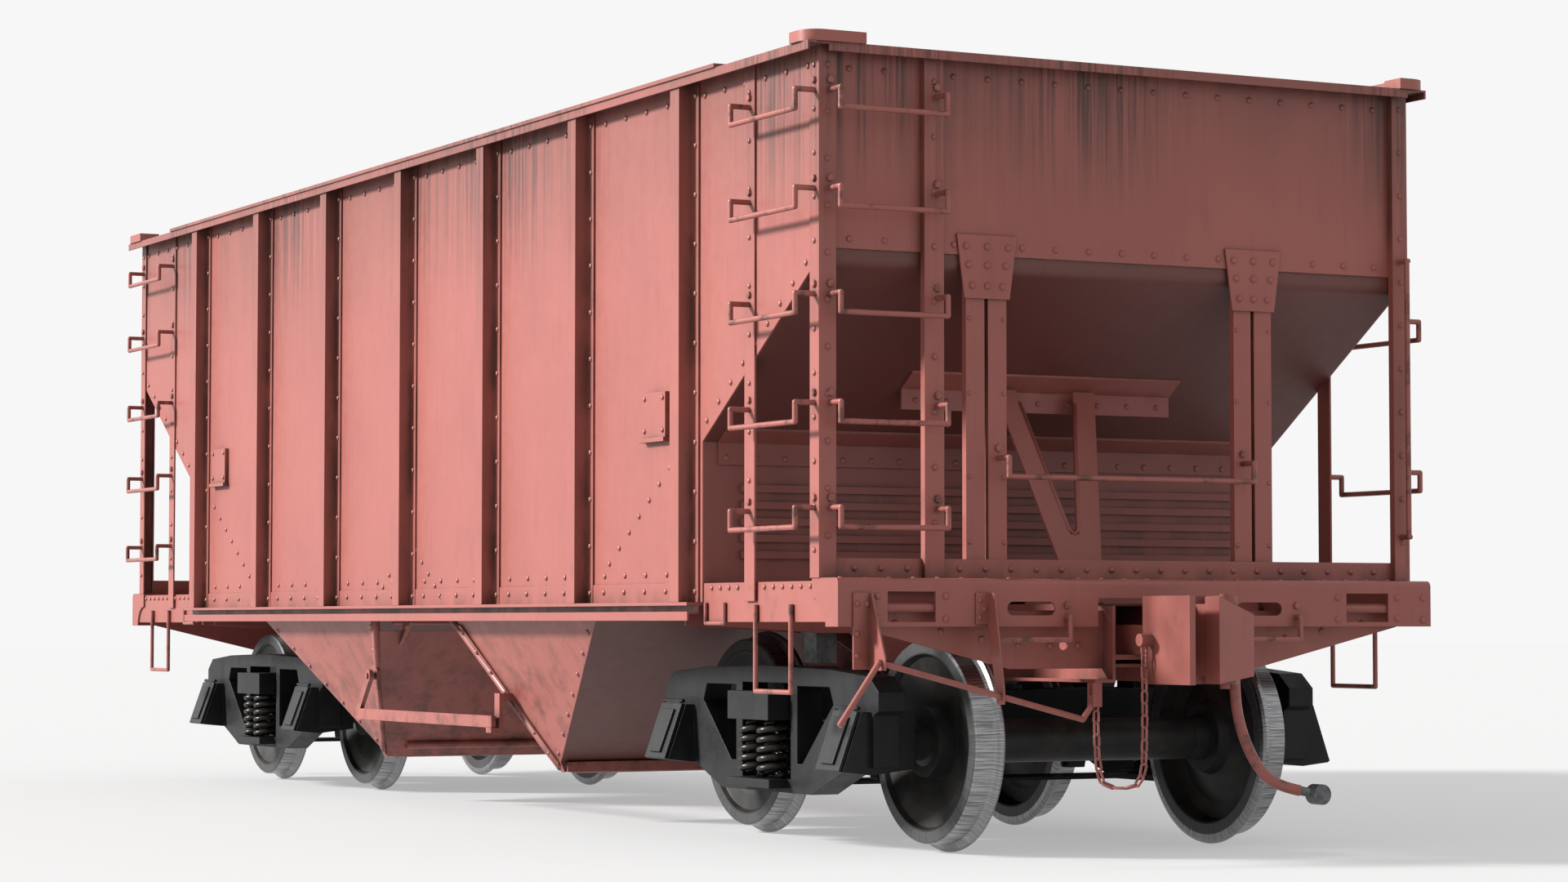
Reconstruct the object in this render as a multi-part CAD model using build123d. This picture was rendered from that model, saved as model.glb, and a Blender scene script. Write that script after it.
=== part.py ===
from build123d import *
import math
import os

# Twin-bay open-top hopper car, riveted steel, outside-post sides. Millimetres.
# +X runs along the car to its A end, +Y to the car's left, +Z up.
# The origin is midway between the trucks and the sides, at the bottom of the wheel flanges.
# The B end is the A end turned half a turn about Z.

# --- driving dimensions -------------------------------------------------------
# Body plan
end_sill_face_x = 4790.0
end_sill_half_width = 1518.0
corner_post_face_x = 4633.0
end_sheet_face_x = 4597.0
side_sheet_inner_y = 1506.0
sheet = 8.0
post_pitch = 1127.0
post_count = 7
post_face_width = 92.0
post_depth = 67.0
post_flange = 62.0
post_wall = 9.0
hold_edge_x = 3516.0
corner_leg = 82.0
rail_outer_x = 4680.0
rail_outer_y = 1600.0
rail_strip_x = 3810.0
upright_y = 690.0

# Body heights
side_ledge_z = 1088.0
end_sill_bottom_z = 980.0
end_sill_top_z = 1184.0
rail_top_z = 3430.0
rail_depth = 39.0
corner_cap_rise = 48.0
end_sheet_bottom_z = 2572.0
band_top_z = 1268.0

# Slope sheets, ridge and hopper bays
slope_foot_x = 1240.0
slope_foot_z = 300.0
slope_rise = 0.66
slope_bend_radius = 60.0
ridge_apex_z = 1493.0
ridge_rise = 0.70
bay_inner_x = 508.0
bay_lip_x = 1200.0
bay_lip_z = 250.0
bay_lip_half_width = 1155.0
door_thickness = 12.0
door_clearance = 2.6
door_pin_radius = 14.0
door_pin_x = 520.0
door_pin_z = 1000.0
slope_angle_x = 3880.0
lock_pivot_x = 780.0
lock_pivot_z = 707.0
lock_pin_radius = 15.0
lock_bar_z = 497.0
lock_bar_end_x = 960.0
lock_bar_outer_y = -1444.0
lock_plate_y = -1382.0

# Underframe
centre_sill_half_width = 170.0
centre_sill_bottom_z = 740.0
centre_sill_top_z = 1070.0
centre_sill_wall = 14.0
draft_pocket_top_z = 1052.0
truck_centre_x = 3383.0
handbrake_z = 2930.0
handbrake_shaft = 16.0
draft_deck_z = 1080.0
king_pin_radius = 25.0
side_bearing_y = 850.0
side_bearing_top_z = 950.0
side_bearing_bottom_z = 813.0
centre_plate_radius = 165.0

# Trucks and wheels
wheelbase_half = 856.0
flange_radius = 479.0
tread_radius = 442.0
wheel_outer_y = 798.0
wheel_inner_y = 663.0
axle_radius = 95.0
journal_radius = 62.0
frame_centre_y = 1062.0
frame_thickness = 130.0
bolster_top_z = 690.0
spring_seat_z = 300.0
spring_top_z = 563.0
spring_radius = 76.0
spring_offset_y = 78.0
spring_seat_half_width = 160.0
spring_seat_half_length = 210.0
spring_seat_depth = 40.0
spring_pitch = 180.0
lid_top_y = 1172.0
lid_foot_y = 1262.0
journal_chamber = 112.0

# Couplers
coupler_centre_z = 924.0
coupler_pin_x = 4290.0
coupler_pin_radius = 30.0
coupler_head_back_x = 5000.0
coupler_face_x = 5400.0
coupler_half_width = 190.0
coupler_top_z = 1110.0
coupler_bottom_z = 738.0
knuckle_pin_x = 5235.0
knuckle_pin_y = 95.0
knuckle_pin_radius = 21.0
draft_travel = 65.0
train_pipe_radius = 21.0
train_pipe_y = 372.0
train_pipe_z = 900.0

# Uncoupling lever, hung in two brackets on the end sill
lever_radius = 13.0
lever_x = 4900.0
lever_outer = (4900.0, -1385.0, 833.0)
lever_inner = (4900.0, -400.0, 588.0)
lever_grip = (4925.0, -1585.0, 575.0)

# Ladders and grab irons
rung_bolt_heights = (3277.0, 2862.0, 2417.0, 1960.0, 1520.0)
rung_drop = 125.0
rung_reach = 92.0
rung_radius = 12.0
step_radius = 11.0
stile_width = 95.0
end_stile_y = 967.0
side_stile_x = 3992.0
stile_bottom_z = 1090.0

# Fits
running_gap = 0.06
air_gap = 0.4

# Air-brake hose, from the angle cock to the gladhand
hose_diameter = 48.0
hose_route = [
    (4905.0, train_pipe_y, train_pipe_z - 100.0),
    (4905.0, train_pipe_y, 690.0),
    (4921.0, 382.0, 565.0),
    (4962.0, 406.0, 440.0),
    (5012.0, 442.0, 345.0),
    (5062.0, 500.0, 292.0),
    (5098.0, 575.0, 275.0),
]


# --- small geometry helpers ---------------------------------------------------
def block(x_range, y_range, z_range):
    """Rectangular block between two values on each axis."""
    size = [high - low for low, high in (x_range, y_range, z_range)]
    middle = [(high + low) / 2 for low, high in (x_range, y_range, z_range)]
    return Pos(*middle) * Box(*size)


def slab(points, direction):
    """Flat polygon given by its corners, thickened along the vector direction."""
    face = Face(Wire.make_polygon([Vector(*point) for point in points], close=True))
    return extrude(face, amount=Vector(*direction).length, dir=Vector(*direction).normalized())


def profile_xz(points, y_low, y_high):
    """Outline drawn in X and Z, extruded from y_low to y_high."""
    return slab([(x, y_low, z) for x, z in points], (0, y_high - y_low, 0))


def profile_yz(points, x_low, x_high):
    """Outline drawn in Y and Z, extruded from x_low to x_high."""
    return slab([(x_low, y, z) for y, z in points], (x_high - x_low, 0, 0))


def profile_xy(points, z_low, z_high):
    """Outline drawn in X and Y, extruded from z_low to z_high."""
    return slab([(x, y, z_low) for x, y in points], (0, 0, z_high - z_low))


def rod(start, end, radius):
    """Round bar between two points."""
    start = Vector(*start)
    axis = Vector(*end) - start
    circle = Plane(origin=start, z_dir=axis) * Circle(radius)
    return extrude(circle, amount=axis.length, dir=axis.normalized())


def bent_rod(points, radius, bend):
    """Round bar along straight runs joined by arcs of one bend radius."""
    path = FilletPolyline(*points, radius=bend)
    start = Plane(origin=path @ 0, z_dir=path % 0)
    return sweep(start * Circle(radius), path=path)


def ring(centre, axis, outer, inner, length):
    """Tube of the given length, from centre along axis."""
    plane = Plane(origin=centre, z_dir=axis)
    return extrude(plane * (Circle(outer) - Circle(inner)), amount=length, dir=Vector(*axis))


def turned(shapes):
    """The same pieces at the B end: half a turn about Z."""
    return [Rot(0, 0, 180) * shape for shape in shapes]


def both_ends(shapes):
    return list(shapes) + turned(shapes)


def mirrored(shapes):
    """The same pieces on the other side of the car."""
    return [mirror(shape, about=Plane.XZ) for shape in shapes]


def both_sides(shapes):
    return list(shapes) + mirrored(shapes)


def round_edge(solid, near, radius):
    """Rounds the edge that passes nearest to a point."""
    edge = solid.edges().sort_by_distance(near)[0]
    return fillet(edge, radius)


# --- derived places -----------------------------------------------------------
side_sheet_outer_y = side_sheet_inner_y + sheet
post_foot_y = side_sheet_outer_y + post_wall
post_face_y = post_foot_y + post_depth
end_sheet_back_x = end_sheet_face_x - sheet
chute_taper = (side_sheet_inner_y - bay_lip_half_width) / (side_ledge_z - 15.0 - bay_lip_z)
slope_stretch = math.hypot(1.0, slope_rise)
slope_drop = sheet * slope_stretch
chute_normal = Vector(0, 1, -chute_taper).normalized()
ledge_bottom_z = side_ledge_z - 15.0
rail_bottom_z = rail_top_z - rail_depth
corner_cap_top_z = rail_top_z + corner_cap_rise
ridge_foot_z = ridge_apex_z - ridge_rise * bay_inner_x


def slope_z(x):
    """Height of the underside of the slope sheet."""
    return slope_foot_z + slope_rise * (x - slope_foot_x)


def slope_x(z):
    return slope_foot_x + (z - slope_foot_z) / slope_rise


def chute_half_width(z):
    """Half width inside the hopper bay, which narrows below the side ledge."""
    return side_sheet_inner_y - max(0.0, ledge_bottom_z - z) * chute_taper


def door_line_x(z):
    """Inner edge of the chute's side plate, which the door closes."""
    run = (bay_lip_x - bay_inner_x) / (ledge_bottom_z - bay_lip_z)
    return bay_inner_x + (ledge_bottom_z - z) * run


# --- underframe ---------------------------------------------------------------
def centre_sill():
    """Two channels back to back, with a top cover between the draft pockets."""
    flange = 90.0
    inner = centre_sill_half_width - centre_sill_wall
    outline = [
        (inner, centre_sill_bottom_z),
        (centre_sill_half_width + flange, centre_sill_bottom_z),
        (centre_sill_half_width + flange, centre_sill_bottom_z + centre_sill_wall),
        (centre_sill_half_width, centre_sill_bottom_z + centre_sill_wall),
        (centre_sill_half_width, centre_sill_top_z),
        (inner, centre_sill_top_z),
    ]
    reach = end_sill_face_x - 12.0
    channel = profile_yz(outline, -reach, reach)
    bolster_gap = 130.0
    for end in (-1, 1):
        middle = end * truck_centre_x
        low_flange = block(
            (middle - bolster_gap, middle + bolster_gap),
            (centre_sill_half_width, centre_sill_half_width + flange + 1),
            (centre_sill_bottom_z - 1, centre_sill_bottom_z + centre_sill_wall),
        )
        channel = channel - low_flange
        bay_flange = block(
            (min(end * 380, end * 2300), max(end * 380, end * 2300)),
            (centre_sill_half_width, centre_sill_half_width + flange + 1),
            (centre_sill_bottom_z - 1, centre_sill_bottom_z + centre_sill_wall),
        )
        channel = channel - bay_flange
    for x in (-3560, 3560):
        channel = channel - rod(
            (x, inner - 1, train_pipe_z),
            (x, centre_sill_half_width + 1, train_pipe_z),
            train_pipe_radius,
        )
    cover_reach = coupler_pin_x - 700.0
    cover = block((-cover_reach, cover_reach), (-inner, inner), (draft_pocket_top_z, centre_sill_top_z))
    stops = []
    for x in (coupler_pin_x - 640.0,):
        for side in (-1, 1):
            low, high = sorted((side * inner, side * (inner - 28.0)))
            stops.append(block((x - 60.0, x), (low, high), (centre_sill_bottom_z + 60, 1000.0)))
    return both_sides([channel]) + [cover] + both_ends(stops)


def side_sills():
    """Mid-length sill with its post ledge, and a deep plate out to each end sill."""
    web_y = side_sheet_inner_y + 24.0
    outer_y = post_face_y
    toe_bottom_z = 1006.0
    toe_top_z = 1046.0
    outline = [
        (side_sheet_inner_y, ledge_bottom_z),
        (web_y, ledge_bottom_z),
        (web_y, toe_top_z - 10),
        (outer_y - 10, toe_top_z - 10),
        (outer_y - 10, toe_bottom_z),
        (outer_y, toe_bottom_z),
        (outer_y, toe_top_z),
        (web_y + 10, toe_top_z),
        (web_y + 10, ledge_bottom_z),
        (outer_y + 2, ledge_bottom_z),
        (outer_y + 2, side_ledge_z),
        (side_sheet_inner_y, side_ledge_z),
    ]
    middle = profile_yz(outline, -hold_edge_x, hold_edge_x)
    plate_y = (end_sill_half_width - 18.0, end_sill_half_width - 10.0)
    deep = profile_xz(
        [
            (hold_edge_x, end_sill_bottom_z + 20),
            (end_sill_face_x - 12, end_sill_bottom_z + 20),
            (end_sill_face_x - 12, end_sill_top_z - 40),
            (end_sill_face_x - 40, end_sill_top_z - 12),
            (hold_edge_x, end_sill_top_z - 12),
        ],
        *plate_y,
    )
    return both_sides([middle]) + both_ends(both_sides([deep]))


def end_sill():
    """Pressed channel across the end, with openings and its two roping bars."""
    wall = 10.0
    back_x = 4560.0
    outline = [
        (end_sill_face_x, end_sill_bottom_z),
        (end_sill_face_x, end_sill_top_z),
        (back_x, end_sill_top_z),
        (back_x, end_sill_top_z - wall),
        (end_sill_face_x - wall, end_sill_top_z - wall),
        (end_sill_face_x - wall, end_sill_bottom_z),
    ]
    sill = profile_xz(outline, -end_sill_half_width, end_sill_half_width)
    sill = round_edge(sill, (end_sill_face_x, 0, end_sill_top_z), 26.0)
    sill = round_edge(sill, (end_sill_face_x - wall, 0, end_sill_top_z - wall), 16.0)
    for side in (-1, 1):
        low, high = sorted((side * (end_sill_half_width - wall), side * end_sill_half_width))
        cheek = block(
            (back_x, end_sill_face_x - wall), (low, high), (end_sill_bottom_z, end_sill_top_z - wall),
        )
        notch = rod((back_x, low - 1, end_sill_bottom_z), (back_x, high + 1, end_sill_bottom_z), 120.0)
        sill = sill + (cheek - notch)
        window = block((4700, 4800), (side * 1168 - 115, side * 1168 + 115), (1000, 1127))
        slot = block((4700, 4800), (side * 585 - 90, side * 585 + 90), (1028, 1086))
        ends = [
            rod((4700, side * 585 + end * 90, 1057), (4800, side * 585 + end * 90, 1057), 29.0)
            for end in (-1, 1)
        ]
        sill = sill - window - slot - ends[0] - ends[1]
    mouth = block((4500, 4800), (-250, 250), (end_sill_bottom_z - 1, 1102))
    sill = sill - mouth
    bars = []
    for side in (-1, 1):
        middle = side * 1168
        bar = rod((4757, middle - 130, 1062), (4757, middle + 130, 1062), 20.0)
        for hand in (-1, 1):
            low, high = sorted((middle + hand * 118, middle + hand * 130))
            bar = bar + block((4750, end_sill_face_x - wall), (low, high), (1044, 1080))
        bars.append(bar)
    return [sill] + bars


def end_cross_plate():
    """Tapered plate behind the end sill, which ties it down to the centre sill."""
    low_y = centre_sill_half_width
    outline = [
        (low_y, 800),
        (640, 800),
        (1390, 978),
        (1390, 1050),
        (low_y, 1050),
    ]
    plate = profile_yz(outline, 4690, 4702)
    for side in (-1, 1):
        pipe_y = side * train_pipe_y
        plate = plate - rod((4680, pipe_y, train_pipe_z), (4712, pipe_y, train_pipe_z), train_pipe_radius)
    flange = block((4600, 4690), (low_y + 100, 560), (800, 812))
    return both_sides([plate + flange])


def body_bolster():
    """Box-section cross member over each truck, deepest at the centre sill."""
    outline = [
        (centre_sill_half_width, centre_sill_bottom_z),
        (430, centre_sill_bottom_z),
        (760, side_bearing_top_z),
        (side_bearing_y + 55, side_bearing_top_z),
        (1480, 985),
        (1480, 1150),
        (centre_sill_half_width, 1150),
    ]
    webs = []
    for x in (-110, 110):
        webs.append(profile_yz(outline, truck_centre_x + x - 6, truck_centre_x + x + 6))
    roof = block(
        (truck_centre_x - 150, truck_centre_x + 150), (centre_sill_half_width, 1480), (1150, 1162),
    )
    foot = block((truck_centre_x - 104, truck_centre_x + 104), (centre_sill_half_width, 430), (740, 752))
    return both_sides(webs + [roof, foot])


def body_bearings():
    """Centre plate with its king pin, and side bearings, fixed to the body bolster."""
    seat_z = bolster_top_z + air_gap
    flange_z = centre_sill_bottom_z - 16.0
    boss = rod((truck_centre_x, 0, seat_z), (truck_centre_x, 0, flange_z), centre_plate_radius)
    pad = block(
        (truck_centre_x - 165, truck_centre_x + 165), (-200, 200), (flange_z, centre_sill_bottom_z),
    )
    pin = rod((truck_centre_x, 0, 590), (truck_centre_x, 0, flange_z), king_pin_radius)
    bearing = block(
        (truck_centre_x - 60, truck_centre_x + 60),
        (side_bearing_y - 52, side_bearing_y + 52),
        (side_bearing_bottom_z, side_bearing_top_z),
    )
    saddle = block(
        (truck_centre_x - 104, truck_centre_x + 104),
        (side_bearing_y - 52, side_bearing_y + 52),
        (side_bearing_top_z, side_bearing_top_z + 40),
    )
    return [boss + pad + pin] + both_sides([bearing + saddle])


# --- body ---------------------------------------------------------------------
def side_sheets():
    """Plates of one side: the tall middle and the two tapered ends."""
    top_z = rail_top_z - 10.0
    tall = [
        (-hold_edge_x, top_z),
        (hold_edge_x, top_z),
        (hold_edge_x, side_ledge_z),
        (-hold_edge_x, side_ledge_z),
    ]
    tapered = [
        (hold_edge_x, top_z),
        (end_sheet_face_x, top_z),
        (end_sheet_face_x, slope_z(end_sheet_face_x)),
        (hold_edge_x, slope_z(hold_edge_x)),
    ]
    mirrored_end = [(-x, z) for x, z in tapered]
    outlines = (tall, tapered, mirrored_end)
    return [profile_xz(outline, side_sheet_inner_y, side_sheet_outer_y) for outline in outlines]


def side_posts():
    """Hat-section posts on the outside of one side sheet."""
    half = post_face_width / 2
    foot = half + post_flange
    outline = [
        (-foot, side_sheet_outer_y),
        (-half + post_wall, side_sheet_outer_y),
        (-half + post_wall, post_face_y - post_wall),
        (half - post_wall, post_face_y - post_wall),
        (half - post_wall, side_sheet_outer_y),
        (foot, side_sheet_outer_y),
        (foot, post_foot_y),
        (half, post_foot_y),
        (half, post_face_y),
        (-half, post_face_y),
        (-half, post_foot_y),
        (-foot, post_foot_y),
    ]
    post = profile_xy(outline, side_ledge_z, rail_top_z - 10.0)
    first = -(post_count - 1) / 2
    return [Pos((first + index) * post_pitch, 0, 0) * post for index in range(post_count)]


def corner_post():
    face = corner_post_face_x
    outline = [
        (face - corner_leg, side_sheet_outer_y),
        (face - corner_leg, post_foot_y),
        (face, post_foot_y),
        (face, post_foot_y - corner_leg),
        (end_sheet_face_x, post_foot_y - corner_leg),
        (end_sheet_face_x, post_foot_y - corner_leg + post_wall),
        (face - post_wall, post_foot_y - corner_leg + post_wall),
        (face - post_wall, side_sheet_outer_y),
    ]
    return profile_xy(outline, end_sill_top_z, rail_top_z - 10.0)


def top_rails():
    """Bulb-angle rim along one side and one end, with the side's doubling strip."""
    flange = 10.0
    lip_bottom_z = rail_bottom_z - 11.0
    side_outline = [
        (rail_outer_y, rail_bottom_z),
        (rail_outer_y, rail_top_z),
        (side_sheet_inner_y - sheet, rail_top_z),
        (side_sheet_inner_y - sheet, lip_bottom_z),
        (side_sheet_inner_y, lip_bottom_z),
        (side_sheet_inner_y, rail_top_z - flange),
        (rail_outer_y - 9, rail_top_z - flange),
        (rail_outer_y - 9, rail_bottom_z),
    ]
    side_rail = profile_yz(side_outline, -rail_outer_x, rail_outer_x)
    for end in (-1, 1):
        low, high = sorted((end * (end_sheet_back_x - sheet), end * (rail_outer_x + 1)))
        corner = block(
            (low, high),
            (side_sheet_inner_y - 9, side_sheet_inner_y + 1),
            (lip_bottom_z - 1, rail_top_z - flange),
        )
        side_rail = side_rail - corner
    strip = block(
        (-rail_strip_x, rail_strip_x),
        (side_sheet_inner_y - sheet, rail_outer_y + 8),
        (rail_top_z, rail_top_z + 18),
    )
    end_outline = [
        (rail_outer_x, rail_bottom_z),
        (rail_outer_x, rail_top_z),
        (end_sheet_back_x - sheet, rail_top_z),
        (end_sheet_back_x - sheet, lip_bottom_z),
        (end_sheet_back_x, lip_bottom_z),
        (end_sheet_back_x, rail_top_z - flange),
        (rail_outer_x - 9, rail_top_z - flange),
        (rail_outer_x - 9, rail_bottom_z),
    ]
    reach = side_sheet_inner_y - sheet
    end_rail = profile_xz(end_outline, -reach, reach)
    return both_sides([side_rail, strip]) + both_ends([end_rail])


def corner_cap(long_way_on_end):
    """Cast cap over a corner of the rim, at +X and +Y."""
    along_x = 160.0 if long_way_on_end else 285.0
    along_y = 285.0 if long_way_on_end else 160.0
    outer_x = rail_outer_x + 10
    outer_y = rail_outer_y + 10
    plate = block(
        (outer_x - along_x, outer_x), (outer_y - along_y, outer_y), (rail_top_z, corner_cap_top_z),
    )
    plate = round_edge(plate, (outer_x, outer_y, (rail_top_z + corner_cap_top_z) / 2), 90.0)
    inner = block(
        (outer_x - along_x - 1, end_sheet_back_x - 20),
        (outer_y - along_y - 1, side_sheet_inner_y - 20),
        (rail_top_z - 1, corner_cap_top_z + 1),
    )
    return plate - inner


def end_sheet():
    reach = side_sheet_inner_y
    return block(
        (end_sheet_back_x, end_sheet_face_x), (-reach, reach), (end_sheet_bottom_z, rail_top_z - 10.0),
    )


def slope_sheet():
    """Plates from the end of the hold down into its bay, the top one lapped behind the end sheet."""
    back_x = end_sheet_back_x - sheet
    outline = [
        (end_sheet_back_x, end_sheet_bottom_z + 68),
        (end_sheet_back_x, slope_z(end_sheet_back_x)),
        (slope_foot_x, slope_foot_z),
        (slope_foot_x, slope_foot_z + slope_drop),
        (back_x, slope_z(back_x) + slope_drop),
        (back_x, end_sheet_bottom_z + 68),
    ]
    reach = side_sheet_inner_y
    slope = profile_xz(outline, -reach, reach)
    slope = round_edge(slope, (back_x, 0, slope_z(back_x) + slope_drop), slope_bend_radius - sheet)
    slope = round_edge(slope, (end_sheet_back_x, 0, slope_z(end_sheet_back_x)), slope_bend_radius)
    envelope = [
        (-reach, 4000),
        (-reach, ledge_bottom_z),
        (-chute_half_width(slope_foot_z - 50), slope_foot_z - 50),
        (chute_half_width(slope_foot_z - 50), slope_foot_z - 50),
        (reach, ledge_bottom_z),
        (reach, 4000),
    ]
    slope = slope & profile_yz(envelope, slope_foot_x - 100, end_sheet_face_x)
    way_low_x = slope_x(centre_sill_bottom_z) - 60
    way_high_x = slope_x(centre_sill_top_z) + 60
    sill_way = block(
        (way_low_x, way_high_x),
        (-centre_sill_half_width - 2, centre_sill_half_width + 2),
        (centre_sill_bottom_z - 16, centre_sill_top_z + 12),
    )
    slope = slope - sill_way
    high = slope & block((way_high_x, end_sheet_face_x), (-reach, reach), (0, rail_top_z))
    low = slope & block((0, way_low_x), (-reach, reach), (0, rail_top_z))
    left = slope & block((way_low_x, way_high_x), (0, reach), (0, rail_top_z))
    right = slope & block((way_low_x, way_high_x), (-reach, 0), (0, rail_top_z))
    return [high, left, right, low]


def ridge_sheets():
    """Inverted V between the bays, and a hood over the centre sill in each bay."""
    reach = side_sheet_inner_y
    outer = [
        (-bay_inner_x, ledge_bottom_z),
        (-bay_inner_x, ridge_foot_z),
        (0, ridge_apex_z),
        (bay_inner_x, ridge_foot_z),
        (bay_inner_x, ledge_bottom_z),
        (bay_inner_x - sheet, ledge_bottom_z),
        (bay_inner_x - sheet, ridge_foot_z - 6),
        (0, ridge_apex_z - 10),
        (-bay_inner_x + sheet, ridge_foot_z - 6),
        (-bay_inner_x + sheet, ledge_bottom_z),
    ]
    ridge = profile_xz(outer, -reach, reach)
    foot = centre_sill_half_width + 15
    hood_outline = [
        (-foot, centre_sill_top_z + 2),
        (0, centre_sill_top_z + 130),
        (foot, centre_sill_top_z + 2),
        (foot - 12, centre_sill_top_z + 2),
        (0, centre_sill_top_z + 121),
        (-foot + 12, centre_sill_top_z + 2),
    ]
    hood = profile_yz(hood_outline, bay_inner_x + 1, 2900)
    below_slope = profile_xz(
        [
            (1800, slope_z(1800) + slope_drop + 1),
            (3200, slope_z(3200) + slope_drop + 1),
            (3200, 600),
            (1800, 600),
        ],
        -reach,
        reach,
    )
    return [ridge] + both_ends([hood - below_slope])


def bay_plates():
    """Side plate, inner plate and edge flange of half a bay, at +X and +Y."""
    corners = [
        (bay_inner_x, ledge_bottom_z),
        (slope_x(ledge_bottom_z), ledge_bottom_z),
        (slope_foot_x, slope_foot_z),
        (slope_foot_x, bay_lip_z),
        (bay_lip_x, bay_lip_z),
    ]
    points = [(x, chute_half_width(z), z) for x, z in corners]
    side_plate = slab(points, chute_normal * sheet)
    inner_y = centre_sill_half_width + 16
    top_z = centre_sill_bottom_z - 5
    inner_outline = [
        (door_line_x(top_z), top_z),
        (slope_x(top_z), top_z),
        (slope_foot_x, slope_foot_z),
        (slope_foot_x, bay_lip_z + 50),
        (door_line_x(bay_lip_z + 50), bay_lip_z + 50),
    ]
    inner_plate = profile_xz(inner_outline, inner_y, inner_y + sheet)
    inner_plate = inner_plate - Pos(0, 0, slope_drop) * slope_blank()
    flange_points = []
    for z, along in ((990, 0), (990, 70), (300, 70), (265, 0)):
        x = door_line_x(z) + along
        y = chute_half_width(z)
        flange_points.append(Vector(x, y, z) + chute_normal * sheet)
    edge_flange = slab(flange_points, chute_normal * 10.0)
    return side_plate, inner_plate, edge_flange


def slope_blank():
    """Half-space over the underside of the slope, for trimming what meets it."""
    return profile_xz(
        [
            (slope_foot_x, slope_foot_z),
            (2600, slope_z(2600)),
            (2600, slope_z(2600) - 900),
            (slope_foot_x, slope_foot_z - 900),
        ],
        -2000,
        2000,
    )


def hopper_chutes():
    """Everything fixed round the two bays: plates, lips, hinge brackets and lock pins."""
    side_plate, inner_plate, edge_flange = bay_plates()
    half_bay = [side_plate, inner_plate, edge_flange]
    for y in (240.0, 1320.0):
        outline = [
            (door_pin_x - 34, ledge_bottom_z),
            (door_pin_x - 11, ledge_bottom_z),
            (door_pin_x + 36, ledge_bottom_z),
            (door_pin_x + 30, door_pin_z - 20),
            (door_pin_x, door_pin_z - 36),
            (door_pin_x - 30, door_pin_z - 20),
        ]
        bracket = profile_xz(outline, y, y + 12)
        hole = rod(
            (door_pin_x, y - 1, door_pin_z),
            (door_pin_x, y + 13, door_pin_z),
            door_pin_radius + running_gap,
        )
        half_bay.append(bracket - hole)
    lip = block(
        (bay_lip_x + 14, slope_foot_x + 22),
        (-bay_lip_half_width, bay_lip_half_width),
        (bay_lip_z, slope_foot_z),
    )
    pieces = both_ends(both_sides(half_bay) + [lip])
    pin_start = (-lock_pivot_x, lock_plate_y, lock_pivot_z)
    pivot = rod(pin_start, (-lock_pivot_x, lock_bar_outer_y - 10, lock_pivot_z), lock_pin_radius)
    lug_outline = [
        (-lock_pivot_x + 34, lock_pivot_z - 20),
        (-lock_pivot_x + 34, lock_pivot_z + 28),
        (-lock_pivot_x, lock_pivot_z + 60),
        (-lock_pivot_x - 70, lock_pivot_z + 60),
        (-lock_pivot_x - 50, lock_pivot_z - 20),
    ]
    lug = profile_xz(lug_outline, lock_plate_y - 20, lock_plate_y)
    stop_x = (lock_bar_end_x - 60, lock_bar_end_x + 5)
    seat_z = lock_bar_z - 30 - air_gap
    saddle = block(stop_x, (lock_bar_outer_y - 4, lock_plate_y - 2), (seat_z - 26, seat_z))
    saddle = saddle + block(stop_x, (lock_plate_y - 20, lock_plate_y - 4), (seat_z - 26, 640))
    saddle = saddle + block(stop_x, (lock_plate_y - 20, -1300), (600, 640))
    near_plates = both_ends(mirrored([side_plate + edge_flange]))
    for plate in near_plates:
        lug = lug - plate
        saddle = saddle - plate
    pivot = pivot + lug.solids().sort_by(Axis.Y)[0]
    saddle = saddle.solids().sort_by(Axis.Y)[0]
    return pieces + both_ends([pivot, saddle])


def bulkhead():
    """Ribbed plate that closes the hold under the foot of the visible slope."""
    back = hold_edge_x - sheet
    bottom_z = 1162.0 + air_gap
    panel = profile_xz(
        [
            (back, bottom_z),
            (hold_edge_x, bottom_z),
            (hold_edge_x, slope_z(hold_edge_x)),
            (back, slope_z(back)),
        ],
        -side_sheet_inner_y,
        side_sheet_inner_y,
    )
    for index in range(5):
        z = 1300.0 + index * 74.0
        rib = block((hold_edge_x - 1, hold_edge_x + 16), (-1330, 1330), (z - 17, z + 17))
        panel = panel + rib
    angle = profile_xz(
        [
            (hold_edge_x, 1700),
            (hold_edge_x + 10, 1700),
            (hold_edge_x + 10, slope_z(hold_edge_x + 10) - 12),
            (hold_edge_x + 90, slope_z(hold_edge_x + 90) - 12),
            (hold_edge_x + 90, slope_z(hold_edge_x + 90)),
            (hold_edge_x, slope_z(hold_edge_x)),
        ],
        -1440,
        1440,
    )
    return [panel, angle]


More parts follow.
